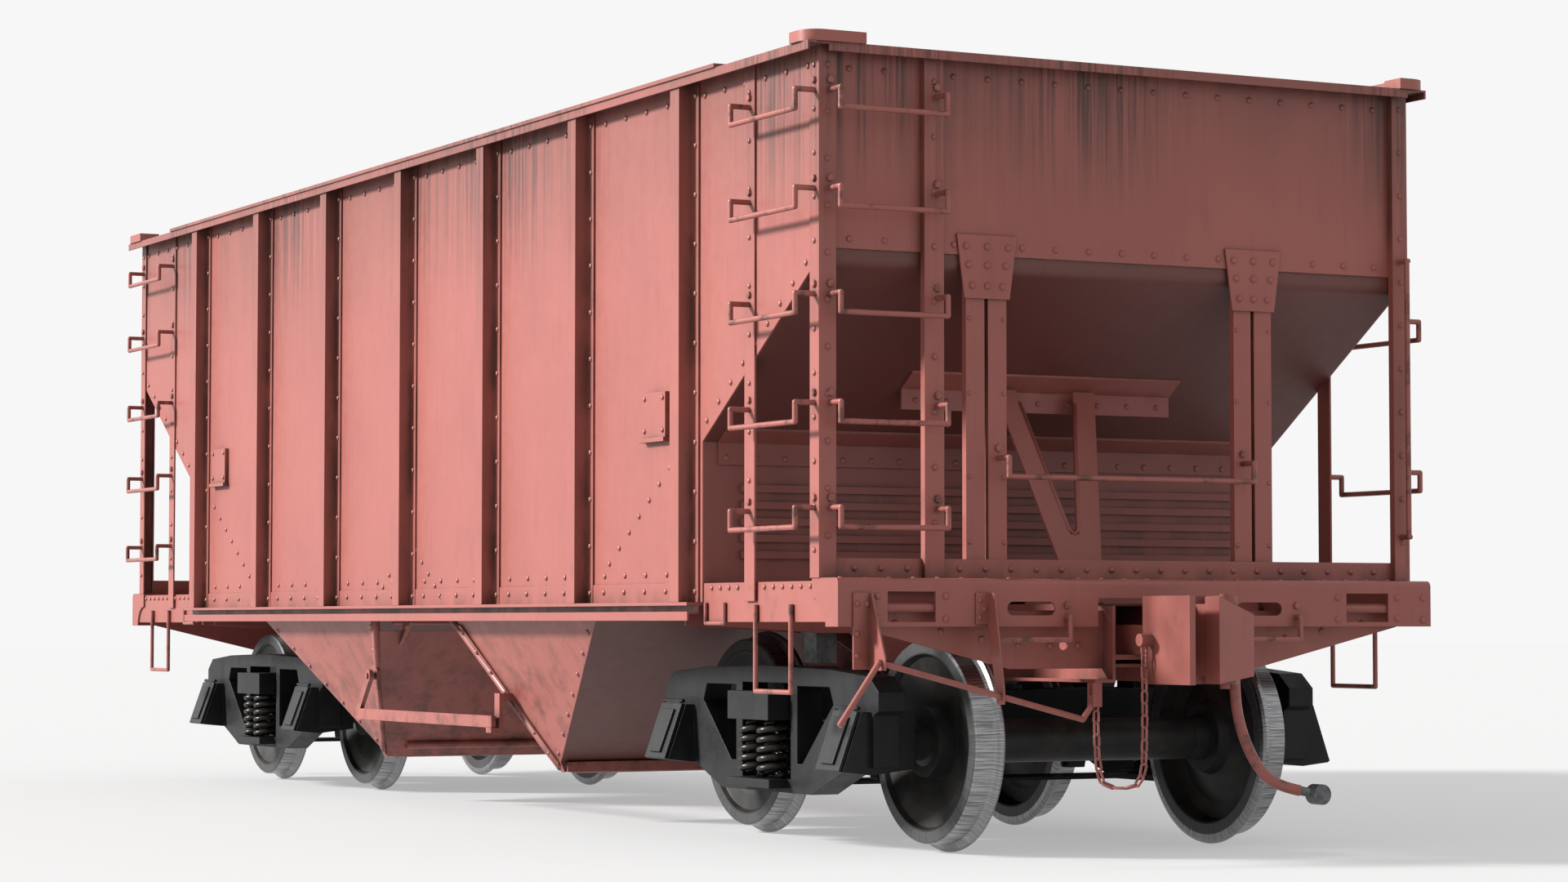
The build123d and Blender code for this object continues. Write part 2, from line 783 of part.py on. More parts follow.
def end_uprights():
    """Pair of channels each side of the end, their gusset plates and the foot band."""
    pieces = []
    width = 92.0
    gap = 18.0
    depth = 34.0
    wall = 8.0
    top_z = 2478.0
    for side in (-1, 1):
        for hand in (-1, 1):
            near = gap / 2
            far = gap / 2 + width
            outline = [
                (end_sheet_face_x - depth, near),
                (end_sheet_face_x, near),
                (end_sheet_face_x, far),
                (end_sheet_face_x - depth, far),
                (end_sheet_face_x - depth, far - wall),
                (end_sheet_face_x - wall, far - wall),
                (end_sheet_face_x - wall, near + wall),
                (end_sheet_face_x - depth, near + wall),
            ]
            outline = [(x, side * upright_y + hand * y) for x, y in outline]
            pieces.append(profile_xy(outline, end_sill_top_z, top_z))
        middle = side * upright_y
        gusset = [
            (middle - 150, 2660),
            (middle + 150, 2660),
            (middle + 112, 2386),
            (middle - 112, 2386),
        ]
        pieces.append(profile_yz(gusset, end_sheet_face_x, end_sheet_face_x + 10))
    reach = post_foot_y - corner_leg
    pieces.append(
        block((end_sheet_face_x, end_sheet_face_x + 8), (-reach, reach), (end_sill_top_z, band_top_z)),
    )
    return pieces


def slope_braces():
    """Angle under the slope sheet, and the V brace that stands on the draft sill."""
    inner = slope_angle_x
    leg = 10.0
    outline = [
        (inner, slope_z(inner)),
        (inner + 110, slope_z(inner + 110)),
        (inner + 110, slope_z(inner + 110) - leg),
        (inner + leg, slope_z(inner + leg) - leg),
        (inner + leg, slope_z(inner) - 95),
        (inner, slope_z(inner) - 95),
    ]
    angle = profile_xz(outline, -710, 710)
    foot = Vector(4310, 0, draft_deck_z)
    head = Vector(inner + 60, 0, slope_z(inner + 60) - 40)
    rise = head - foot
    along = rise.normalized()
    length = rise.length
    flat = [
        (-75, 0),
        (75, 0),
        (265, length),
        (150, length),
        (22, 330),
        (-22, 330),
        (-150, length),
        (-265, length),
    ]
    points = [foot + along * t + Vector(0, y, 0) for y, t in flat]
    face_out = Vector(0, 1, 0).cross(along).normalized()
    if face_out.X < 0:
        face_out = face_out * -1
    brace = slab(points, face_out * 12.0)
    keep_off = profile_xz(
        outline[:2] + [(inner + 110, slope_z(inner + 110) + 400), (inner, slope_z(inner) + 400)],
        -800,
        800,
    )
    deck_keep = block((4000, 4700), (-400, 400), (draft_deck_z - 100, draft_deck_z))
    return [angle, brace - keep_off - deck_keep - angle]


def ladder_stiles():
    """One end-ladder stile at -Y, and a flat stile on each side."""
    face = corner_post_face_x
    half = stile_width / 2
    outline = [
        (end_sheet_face_x, -end_stile_y - half),
        (face, -end_stile_y - half),
        (face, -end_stile_y + half),
        (end_sheet_face_x, -end_stile_y + half),
        (end_sheet_face_x, -end_stile_y + half - post_wall),
        (face - post_wall, -end_stile_y + half - post_wall),
        (face - post_wall, -end_stile_y - half + post_wall),
        (end_sheet_face_x, -end_stile_y - half + post_wall),
    ]
    end_stile = profile_xy(outline, end_sill_top_z, rail_top_z - 10.0)
    end_stile = end_stile - block((4590, end_sheet_face_x + 8), (-1100, -800), (1100, band_top_z))
    side_stile = block(
        (side_stile_x - half, side_stile_x + half),
        (side_sheet_outer_y, post_foot_y),
        (stile_bottom_z, rail_top_z - 10.0),
    )
    return both_ends([end_stile] + both_sides([side_stile]))


# --- grab irons and steps -----------------------------------------------------
def joined_bar(points, radius):
    """Round bar along straight runs, with a ball at each corner."""
    shape = rod(points[0], points[1], radius)
    for index in range(1, len(points) - 1):
        shape = shape + Pos(*tuple(points[index])) * Sphere(radius)
        shape = shape + rod(points[index], points[index + 1], radius)
    return shape


def grab_iron(left, right, outward, drop, reach):
    """Drop grab iron from its two bolt points: a crank at each end and the straight grip."""
    left, right = Vector(*left), Vector(*right)
    outward = Vector(*outward)
    drop = Vector(*drop)
    along = (right - left).normalized()
    lead = 34.0
    pieces = []
    grip_ends = []
    for bolt, inwards in ((left, along), (right, along * -1)):
        elbow = bolt + drop * 0.34
        knee = elbow + outward * reach
        toe = bolt + drop + outward * reach
        grip = toe + inwards * lead
        start = elbow + outward * air_gap
        crank = joined_bar([start, knee, toe, grip], rung_radius)
        pieces.append(crank)
        grip_ends.append(grip)
    pieces.append(rod(grip_ends[0], grip_ends[1], rung_radius))
    return pieces


def side_rungs(end, side, heights):
    """Side grab irons at one corner, between the corner post and the side stile."""
    pieces = []
    y = side * post_foot_y
    for z in heights:
        left = (end * (corner_post_face_x - 40), y, z)
        right = (end * side_stile_x, y, z)
        pieces += grab_iron(left, right, (0, side, 0), (0, 0, -rung_drop), rung_reach)
    return pieces


def grab_irons():
    pieces = []
    low_heights = (rung_bolt_heights[2], 1725.0)
    end_set = []
    for z in rung_bolt_heights:
        left = (corner_post_face_x, -post_foot_y + 55, z)
        right = (corner_post_face_x, -end_stile_y + 14, z)
        end_set += grab_iron(left, right, (1, 0, 0), (0, 0, -rung_drop), rung_reach)
    left = (end_sheet_face_x, -632.0, 1746.0)
    right = (end_sheet_face_x, 632.0, 1746.0)
    end_set += grab_iron(left, right, (1, 0, 0), (0, 0, -rung_drop), rung_reach)
    x = corner_post_face_x
    y = post_foot_y - 42
    end_set += grab_iron((x, y, 2640), (x, y, 1385), (1, 0, 0), (0, -10, 0), 65.0)
    for side in (-1, 1):
        left = (end_sill_face_x, side * 410.0, 1071.0)
        right = (end_sill_face_x, side * 782.0, 1071.0)
        end_set += grab_iron(left, right, (1, 0, 0), (0, 0, -146.0), 30.0)
    pieces += both_ends(end_set)
    pieces += side_rungs(1, -1, rung_bolt_heights)
    pieces += side_rungs(-1, -1, rung_bolt_heights)
    pieces += side_rungs(-1, 1, rung_bolt_heights)
    pieces += side_rungs(1, 1, low_heights)
    return pieces


def stirrup_steps():
    """Foot loops at the four corners, and small rope loops beside the hold."""
    pieces = []
    for x_low, x_high, top_z, low_z, radius in (
        (4044.0, 4372.0, 1075.0, 703.0, step_radius),
        (3555.0, 3738.0, 1085.0, 995.0, 9.0),
    ):
        y = end_sill_half_width - 10 + radius
        points = [(x_low, y, top_z), (x_low, y, low_z), (x_low + 34, y, low_z)]
        far = [(x_high, y, top_z), (x_high, y, low_z), (x_high - 34, y, low_z)]
        pieces.append(joined_bar(points, radius))
        pieces.append(joined_bar(far, radius))
        pieces.append(rod(points[2], far[2], radius))
    return both_ends(both_sides(pieces))


def inspection_covers():
    y = side_sheet_outer_y
    cover = block((2935, 3175), (y, y + 22), (1838, 2045))
    ledge = block((2925, 3185), (y, y + 36), (1818, 1838))
    return both_ends(both_sides([cover, ledge]))


# --- brakes -------------------------------------------------------------------
def train_line():
    """Brake pipe through the centre sill, with an angle cock beside each coupler."""
    radius = train_pipe_radius
    z = train_pipe_z
    cross_x = 3560.0
    cock_x, cock_y, cock_bottom = hose_route[0]
    socket_x = cock_x - 110
    along = rod((-cross_x - radius, 0, z), (cross_x + radius, 0, z), radius)
    body = rod((cock_x, cock_y, cock_bottom), (cock_x, cock_y, cock_bottom + 130), 31.0)
    socket = rod((socket_x, cock_y, z), (cock_x, cock_y, z), 28.0)
    key = rod((cock_x, cock_y, cock_bottom + 129), (cock_x, cock_y, cock_bottom + 160), 12.0)
    handle = block(
        (cock_x - 12, cock_x + 12), (cock_y - 5, cock_y + 95), (cock_bottom + 150, cock_bottom + 162),
    )
    cock = body + socket + key + handle
    branch = rod((cross_x, 0, z), (cross_x, cock_y, z), radius) + Pos(cross_x, cock_y, z) * Sphere(radius)
    run = rod((cross_x, cock_y, z), (socket_x, cock_y, z), radius) - branch
    branch = branch - along
    clamp = block((4600, 4640), (cock_y - 34, cock_y + 34), (812, z + 40))
    clamp = clamp - rod((4590, cock_y, z), (4650, cock_y, z), radius)
    return [along] + both_ends([branch, run, cock, clamp])


def brake_cylinder():
    """Brake cylinder on its bracket, beside the V brace of the B end."""
    y = -700.0
    z = 1362.0
    radius = 130.0
    body = rod((3760, y, z), (4330, y, z), radius)
    nose = rod((4330, y, z), (4400, y, z), 62.0)
    bracket_outline = [
        (-90, draft_deck_z),
        (-168, draft_deck_z),
        (-840, 1216),
        (-840, 1250),
        (-560, 1250),
        (-90, 1110),
    ]
    brackets = [profile_yz(bracket_outline, x, x + 12) - body for x in (3860.0, 4180.0)]
    return turned([body + nose] + brackets)


def air_reservoir():
    """Air reservoir and the control valve bolted beside it."""
    y = 720.0
    z = 1372.0
    radius = 140.0
    body = rod((3720, y, z), (4380, y, z), radius)
    bracket_outline = [
        (90, draft_deck_z),
        (168, draft_deck_z),
        (860, 1216),
        (860, 1250),
        (560, 1250),
        (90, 1110),
    ]
    brackets = [profile_yz(bracket_outline, x, x + 12) - body for x in (3840.0, 4220.0)]
    valve = block((3920, 4120), (y + radius + 0.2, y + radius + 190), (1270, 1440))
    dome = rod((4020, y + radius + 95, 1440), (4020, y + radius + 95, 1490), 60.0)
    return turned([body, valve + dome] + brackets)


def handbrake_housing():
    """Gear housing on the B end sheet, with the brake rod that runs down to the platform."""
    x = end_sheet_face_x
    body = block((x, x + 95), (-310, -90), (2790, 3060))
    body = body - rod(
        (x + 20, -200, handbrake_z), (x + 96, -200, handbrake_z), handbrake_shaft + running_gap,
    )
    down = rod((x + 45, -200, end_sill_top_z), (x + 45, -200, 2790), 11.0)
    return turned([body, down])


def handbrake_wheel():
    """Hand wheel with its shaft."""
    x = end_sheet_face_x
    shaft = rod((x + 21, -200, handbrake_z), (x + 190, -200, handbrake_z), handbrake_shaft)
    hub = rod((x + 130, -200, handbrake_z), (x + 185, -200, handbrake_z), 42.0)
    rim = Plane(origin=(x + 150, -200, handbrake_z), z_dir=(1, 0, 0)) * Torus(270.0, 13.0)
    wheel = shaft + hub + rim
    for index in range(5):
        angle = math.radians(60 + index * 72)
        tip = (x + 150, -200 + 262 * math.cos(angle), handbrake_z + 262 * math.sin(angle))
        wheel = wheel + rod((x + 155, -200, handbrake_z), tip, 9.0)
    return turned([wheel])


# --- couplers -----------------------------------------------------------------
def draft_yoke():
    """Yoke straps and rear wall, the draft gear between them, and the coupler pin."""
    back = coupler_pin_x - 630.0
    front = coupler_pin_x + 60.0
    half = 100.0
    strap_low = (818.0, 848.0)
    strap_high = (1000.0, 1030.0)
    straps = block((back, front), (-half, half), strap_low) + block(
        (back, front), (-half, half), strap_high,
    )
    wall = block((back, back + 40), (-half, half), (818, 1030))
    pin_line = ((coupler_pin_x, 0, 819), (coupler_pin_x, 0, 1029))
    pin = rod(*pin_line, coupler_pin_radius)
    yoke = straps + wall - pin
    gear = block((back + 40, coupler_pin_x - 110), (-half + 8, half - 8), (848, 1000))
    carrier = block((back, coupler_pin_x + 270), (-156, 156), (803, 818 - air_gap))
    striker = block((4690, end_sill_face_x - 12), (-156, 156), (838, 860 - air_gap))
    return [yoke, gear, pin], [carrier, striker]


def coupler():
    """Shank and head, with the lugs that carry the knuckle pin."""
    back = coupler_head_back_x
    shank = block((coupler_pin_x - 48, back), (-62, 62), (860, 988))
    eye = rod((coupler_pin_x, 0, 850), (coupler_pin_x, 0, 998), coupler_pin_radius + running_gap)
    half = coupler_half_width
    heel = block((back, back + 180), (-half, half), (coupler_bottom_z, coupler_top_z))
    heel = round_edge(heel, (back, -half, coupler_centre_z), 60.0)
    heel = round_edge(heel, (back, half, coupler_centre_z), 60.0)
    guard = block((back + 180, coupler_face_x), (-half, -half + 28), (coupler_bottom_z, coupler_top_z))
    pin_line = (knuckle_pin_x, knuckle_pin_y)
    shape = shank - eye + heel + guard
    for low, high in ((coupler_bottom_z, coupler_bottom_z + 34), (coupler_top_z - 34, coupler_top_z)):
        lug = rod((*pin_line, low), (*pin_line, high), 56.0)
        neck = block((back + 179, knuckle_pin_x), (knuckle_pin_y - 56, knuckle_pin_y + 56), (low, high))
        shape = shape + lug + neck
    pin = rod((*pin_line, coupler_bottom_z - 20), (*pin_line, coupler_top_z + 8), knuckle_pin_radius)
    shape = shape - rod(
        (*pin_line, coupler_bottom_z - 1), (*pin_line, coupler_top_z + 1), knuckle_pin_radius,
    )
    stud = rod((back + 110, -half - 62, coupler_centre_z), (back + 110, -half, coupler_centre_z), 27.0)
    return [shape, pin, stud]


def knuckle():
    """Knuckle that turns on the pin, its nose across the front of the head."""
    low = coupler_bottom_z + 34 + air_gap
    high = coupler_top_z - 34 - air_gap
    hub = rod((knuckle_pin_x, knuckle_pin_y, low), (knuckle_pin_x, knuckle_pin_y, high), 46.0)
    tail = block((knuckle_pin_x - 42, knuckle_pin_x + 60), (-40, knuckle_pin_y), (low, high))
    front_outline = [
        (-42, coupler_bottom_z + 4),
        (-42, coupler_top_z - 4),
        (178, coupler_top_z - 78),
        (178, coupler_bottom_z + 34),
    ]
    front = profile_yz(front_outline, knuckle_pin_x + 58, coupler_face_x)
    slant = profile_xy(
        [
            (coupler_face_x + 1, -43),
            (coupler_face_x + 1, 200),
            (coupler_face_x - 74, 200),
            (coupler_face_x, -43),
        ],
        coupler_bottom_z,
        coupler_top_z,
    )
    bore = rod(
        (knuckle_pin_x, knuckle_pin_y, low - 1),
        (knuckle_pin_x, knuckle_pin_y, high + 1),
        knuckle_pin_radius + running_gap,
    )
    return hub + tail + front - slant - bore


def uncoupling_lever():
    """Lever bar with its grip at the side of the car and the fork that lifts the chain."""
    points = [lever_grip, lever_outer, lever_inner, (lever_x, -352.0, 650.0)]
    bar = joined_bar(points, lever_radius)
    fork = block((lever_x - 24, lever_x + 24), (-362, -318), (640, 742))
    fork = fork - block((lever_x - 11, lever_x + 11), (-370, -300), (690, 750))
    return bar + fork


def lever_brackets():
    """Strap with its gusset, and the tapered hanger, on the end sill."""
    face = end_sill_face_x
    axis = (Vector(*lever_inner) - Vector(*lever_outer)).normalized()
    start = Vector(*lever_outer) - axis * 10
    stop = Vector(*lever_inner)
    way = rod(start, stop, lever_radius + running_gap)
    strap = block((face, face + 8), (-1450, -1366), (803, 1122))
    gusset = profile_xz(
        [(face + 8, 1118), (face + 22, 1118), (lever_x + 28, 850), (lever_x + 28, 800), (face + 8, 800)],
        -1374,
        -1366,
    )
    plate = block((face, face + 8), (-862, -798), (990, 1122))
    hanger = profile_xz(
        [
            (face + 8, 1122),
            (face + 60, 1122),
            (lever_x + 26, 720),
            (lever_x + 26, 655),
            (lever_x - 26, 655),
            (face + 8, 990),
        ],
        -806,
        -798,
    )
    return [(strap + gusset) - way, (plate + hanger) - way]


def chain_path():
    """Uncoupling chain as one loose round bar from the fork, down, and up to the head's stud."""
    points = [
        (lever_x, -334, 636),
        (lever_x + 12, -334, 420),
        (lever_x + 40, -322, 318),
        (lever_x + 110, -262, 300),
        (lever_x + 180, -226, 345),
        (lever_x + 208, -226, 500),
        (lever_x + 209, -226, 896),
    ]
    return joined_bar(points, 9.0)


# --- hopper doors -------------------------------------------------------------
def hopper_door():
    """Both leaves of one bay's door, the angle that ties them, straps and hinge pins."""
    slope = Vector(bay_lip_x - bay_inner_x, 0, bay_lip_z - ledge_bottom_z).normalized()
    inward = Vector(slope.Z, 0, -slope.X).normalized()
    if inward.X > 0:
        inward = inward * -1
    clear = inward * door_clearance
    top_z = 962.0
    low_z = 264.0
    inner = centre_sill_half_width + 8
    corners = [
        (door_line_x(top_z), inner, top_z),
        (door_line_x(top_z), chute_half_width(top_z) + sheet, top_z),
        (door_line_x(low_z), chute_half_width(low_z) + sheet, low_z),
        (door_line_x(low_z), inner, low_z),
    ]
    leaf = slab([Vector(*corner) + clear for corner in corners], inward * door_thickness)
    lug_outline = [
        (door_pin_x - 24, door_pin_z),
        (door_pin_x - 6, door_pin_z + 24),
        (door_pin_x + 24, door_pin_z + 8),
        (door_line_x(905) - 2, 905),
        (door_line_x(870) - 18, 868),
        (door_line_x(905) - 40, 900),
    ]
    hinge = rod((door_pin_x, 200, door_pin_z), (door_pin_x, 1400, door_pin_z), door_pin_radius)
    for y in (262.0, 760.0, 1290.0):
        hinge = hinge + profile_xz(lug_outline, y, y + 24)
    tie_z = 330.0
    tie_at = Vector(door_line_x(tie_z), 0, tie_z) + inward * 24
    tie = rod((tie_at.X, -1080, tie_at.Z), (tie_at.X, 1080, tie_at.Z), 22.0)
    leaves = both_sides([leaf])
    for leaf in leaves:
        tie = tie - leaf
    return leaves + both_sides([hinge - leaves[0]]) + [tie]


def door_lock_bar():
    """Bar that spans the two bays on the -Y side, hung from its pivot at -X."""
    y_out = lock_bar_outer_y
    eye = ring((-lock_pivot_x, y_out, lock_pivot_z), (0, 1, 0), 36.0, lock_pin_radius + running_gap, 24.0)
    arm = slab(
        [
            (-lock_pivot_x - 33, y_out, lock_pivot_z - 14),
            (-lock_pivot_x + 24, y_out, lock_pivot_z - 24),
            (-lock_bar_end_x + 60, y_out, lock_bar_z + 20),
            (-lock_bar_end_x, y_out, lock_bar_z + 20),
        ],
        (0, 24, 0),
    )
    hole = rod(
        (-lock_pivot_x, y_out - 1, lock_pivot_z),
        (-lock_pivot_x, y_out + 25, lock_pivot_z),
        lock_pin_radius + running_gap,
    )
    bar = block(
        (-lock_bar_end_x, lock_bar_end_x), (y_out, y_out + 24), (lock_bar_z - 30, lock_bar_z + 30),
    )
    return eye + (arm - hole) + bar


# --- trucks -------------------------------------------------------------------
def side_frame():
    """Cast side frame at +Y of the A truck: both chords, and each column with its journal box."""
    outer = [
        (-1045, 620),
        (-1045, 700),
        (-960, 766),
        (-600, 793),
        (0, 806),
        (600, 793),
        (960, 766),
        (1045, 700),
        (1045, 620),
        (1000, 600),
        (1000, 380),
        (720, 345),
        (440, 240),
        (-440, 240),
        (-720, 345),
        (-1000, 380),
        (-1000, 600),
    ]
    y_low = frame_centre_y - frame_thickness / 2
    y_high = frame_centre_y + frame_thickness / 2
    at = truck_centre_x
    frame = profile_xz([(at + u, z) for u, z in outer], y_low, y_high)
    bay = block((at - 238, at + 238), (y_low - 1, y_high + 1), (spring_seat_z, 728))
    frame = frame - bay
    for hand in (-1, 1):
        window = [(300, 372), (350, 372), (640, 640), (604, 716), (300, 716)]
        window = [(at + hand * u, z) for u, z in window]
        frame = frame - profile_xz(window, y_low - 1, y_high + 1)
        axle_x = at + hand * wheelbase_half
        box = profile_yz(
            [(905, 370), (905, 615), (lid_top_y, 615), (lid_foot_y, 360), (1120, 345)],
            axle_x - 118,
            axle_x + 118,
        )
        frame = frame + box
        chamber = rod((axle_x, 930, flange_radius), (axle_x, 1300, flange_radius), journal_chamber)
        neck = rod((axle_x, 900, flange_radius), (axle_x, 931, flange_radius), 82.0)
        frame = frame - chamber - neck
    frame = frame + block(
        (at - spring_seat_half_length, at + spring_seat_half_length),
        (frame_centre_y - spring_seat_half_width, frame_centre_y + spring_seat_half_width),
        (spring_seat_z - spring_seat_depth, spring_seat_z),
    )
    middle = block((at - 238, at + 238), (800, 1400), (0, 1000))
    return list((frame & middle).solids()) + list((frame - middle).solids())


def journal_bearing(axle_x):
    """Brass that sits on the journal, in the crown of the box."""
    shell = ring(
        (axle_x, 965, flange_radius),
        (0, 1, 0),
        journal_chamber - 0.3,
        journal_radius + running_gap,
        150.0,
    )
    keep = block((axle_x - 60, axle_x + 60), (960, 1120), (flange_radius + 30, flange_radius + 120))
    return shell & keep


def truck_frames():
    seat_plank = block(
        (truck_centre_x - 150, truck_centre_x + 150),
        (-frame_centre_y + spring_seat_half_width, frame_centre_y - spring_seat_half_width),
        (spring_seat_z - 32, spring_seat_z - 16),
    )
    pieces = side_frame()
    for hand in (-1, 1):
        pieces.append(journal_bearing(truck_centre_x + hand * wheelbase_half))
    return both_sides(pieces) + [seat_plank]


def truck_bolster():
    """Cross member with its centre-plate bowl, side bearings and spring caps."""
    at = truck_centre_x
    outline = [
        (0, 500),
        (400, 500),
        (frame_centre_y - spring_seat_half_width, spring_top_z),
        (frame_centre_y + spring_seat_half_width, spring_top_z),
        (frame_centre_y + spring_seat_half_width, bolster_top_z),
        (0, bolster_top_z),
    ]
    half = profile_yz(outline, at - 200, at + 200)
    bolster = half + mirror(half, about=Plane.XZ)
    bowl = ring(
        (at, 0, bolster_top_z),
        (0, 0, 1),
        centre_plate_radius + 22,
        centre_plate_radius + running_gap,
        22.0,
    )
    hole = rod((at, 0, 499), (at, 0, 800), king_pin_radius + running_gap)
    bolster = bolster + bowl - hole
    bearings = block((at - 70, at + 70), (side_bearing_y - 60, side_bearing_y + 60), (bolster_top_z, 800))
    return [bolster] + both_sides([bearings])


def spring_nests():
    """Two rows of bolster springs on each side, as sleeves of the coils' size."""
    pieces = []
    for u in (-spring_pitch / 2, spring_pitch / 2):
        for y in (frame_centre_y - spring_offset_y, frame_centre_y + spring_offset_y):
            base = (truck_centre_x + u, y, spring_seat_z)
            pieces.append(
                ring(base, (0, 0, 1), spring_radius, spring_radius - 26, spring_top_z - spring_seat_z),
            )
    return both_sides(pieces)


def brake_rigging():
    """Brake beams with their heads and shoes, released, and the rod between them."""
    pieces = []
    for hand in (-1, 1):
        axle_x = truck_centre_x + hand * wheelbase_half
        beam_x = axle_x - hand * 540
        beam = block((beam_x - 26, beam_x + 26), (-790, 790), (400, 452))
        shape = beam
        for side in (-1, 1):
            y_low, y_high = sorted((side * 706, side * 792))
            arc = ring((axle_x, y_low, flange_radius), (0, 1, 0), 522.0, 456.0, y_high - y_low)
            span = sorted((axle_x - hand * 516, axle_x - hand * 410))
            keep = block(span, (-900, 900), (300, 560))
            shoe = arc & keep
            shape = shape + shoe
        hanger_y = 600.0
        shape = shape + block((beam_x - 10, beam_x + 10), (hanger_y - 10, hanger_y + 10), (451, 560))
        shape = shape + block((beam_x - 10, beam_x + 10), (-hanger_y - 10, -hanger_y + 10), (451, 560))
        pieces.append(shape)
    reach = wheelbase_half - 540 - 26
    pieces.append(rod((truck_centre_x - reach, 0, 426), (truck_centre_x + reach, 0, 426), 20.0))
    return pieces


def journal_lids(side):
    """The two box lids of one side frame, hinged along their top edges."""
    pieces = []
    y_top = side * lid_top_y
    y_foot = side * lid_foot_y
    face = Vector(0, y_foot - y_top, 360 - 615).normalized()
    outward = Vector(0, -face.Z * side, face.Y * side).normalized()
    if outward.Y * side < 0:
        outward = outward * -1
    for hand in (-1, 1):
        axle_x = truck_centre_x + hand * wheelbase_half
        top = Vector(axle_x, y_top, 615) + outward * air_gap
        low = Vector(axle_x, y_foot, 360) + outward * air_gap
        width = Vector(108, 0, 0)
        lid = slab([top - width, top + width, low + width, low - width], outward * 16.0)
        raised = top + (low - top) * 0.12
        panel = slab(
            [
                raised - width * 0.6 + outward * 15,
                raised + width * 0.6 + outward * 15,
                low - (low - top) * 0.1 + width * 0.5 + outward * 15,
                low - (low - top) * 0.1 - width * 0.5 + outward * 15,
            ],
            outward * 12.0,
        )
        pin_centre = Vector(axle_x, y_top, 615) + outward * 8 - face * 14
        pin = rod(pin_centre - Vector(100, 0, 0), pin_centre + Vector(100, 0, 0), 9.0)
        neck = slab(
            [
                pin_centre - width * 0.7 - outward * 6,
                pin_centre + width * 0.7 - outward * 6,
                top + width * 0.7 + face * 5,
                top - width * 0.7 + face * 5,
            ],
            outward * 12.0,
        )
        pieces.append(lid + panel + pin + neck)
    return pieces


def wheelset(hand):
    """Axle with its journals, and two dished wheels pressed on."""
    axle_x = truck_centre_x + hand * wheelbase_half
    z = flange_radius
    half_axle = [
        (0, 0),
        (0, axle_radius),
        (560, axle_radius),
        (620, 104),
        (wheel_outer_y + 6, 104),
        (wheel_outer_y + 14, 80),
        (942, 80),
        (950, journal_radius),
        (1128, journal_radius),
        (1128, 76),
        (1140, 76),
        (1140, 0),
    ]
    wheel_outline = [
        (104, 640),
        (150, 640),
        (168, 690),
        (300, 742),
        (368, 735),
        (382, wheel_inner_y + 2),
        (392, wheel_inner_y),
        (flange_radius - 18, wheel_inner_y),
        (flange_radius - 4, wheel_inner_y + 8),
        (flange_radius, wheel_inner_y + 18),
        (flange_radius - 5, wheel_inner_y + 28),
        (tread_radius + 16, wheel_inner_y + 36),
        (tread_radius + 5, wheel_inner_y + 48),
        (tread_radius, wheel_outer_y - 8),
        (tread_radius - 8, wheel_outer_y),
        (382, wheel_outer_y),
        (370, wheel_outer_y - 22),
        (300, 762),
        (160, 722),
        (150, wheel_outer_y + 6),
        (104, wheel_outer_y + 6),
    ]
    plane = Plane(origin=(0, 0, 0), x_dir=(0, 0, 1), z_dir=(1, 0, 0))

    def spun(points):
        face = Face(Wire.make_polygon([Vector(0, y, r) for r, y in points], close=True))
        return revolve(face, Axis((0, 0, 0), (0, 1, 0)), 360)

    axle = spun([(r, y) for y, r in half_axle])
    axle = axle + mirror(axle, about=Plane.XZ)
    wheel = spun(wheel_outline)
    shapes = [axle, wheel, mirror(wheel, about=Plane.XZ)]
    return [Pos(axle_x, 0, z) * shape for shape in shapes]


# --- air hose -----------------------------------------------------------------
def hose_radii():
    """Arc radius at each corner of the hose's route."""
    radii = []
    points = [Vector(*point) for point in hose_route]
    for before, corner, after in zip(points, points[1:], points[2:]):
        turn = math.radians((corner - before).get_angle(after - corner))
        run = min((corner - before).length, (after - corner).length)
        radii.append(0.45 * run / math.tan(turn / 2))
    return radii


def brake_hose():
    path = FilletPolyline(*hose_route, radius=hose_radii())
    start = Plane(origin=path @ 0, z_dir=path % 0)
    return sweep(start * Circle(hose_diameter / 2), path=path), path.length


def gladhand():
    """Coupling head on the free end of the hose."""
    end = Vector(*hose_route[-1])
    out = (end - Vector(*hose_route[-2])).normalized()
    stop = end + out * 58
    neck = rod(end, stop, 20.0)
    head_at = stop + out * 22
    head = rod(head_at - Vector(34, 0, 0), head_at + Vector(34, 0, 0), 44.0)
    return neck + head


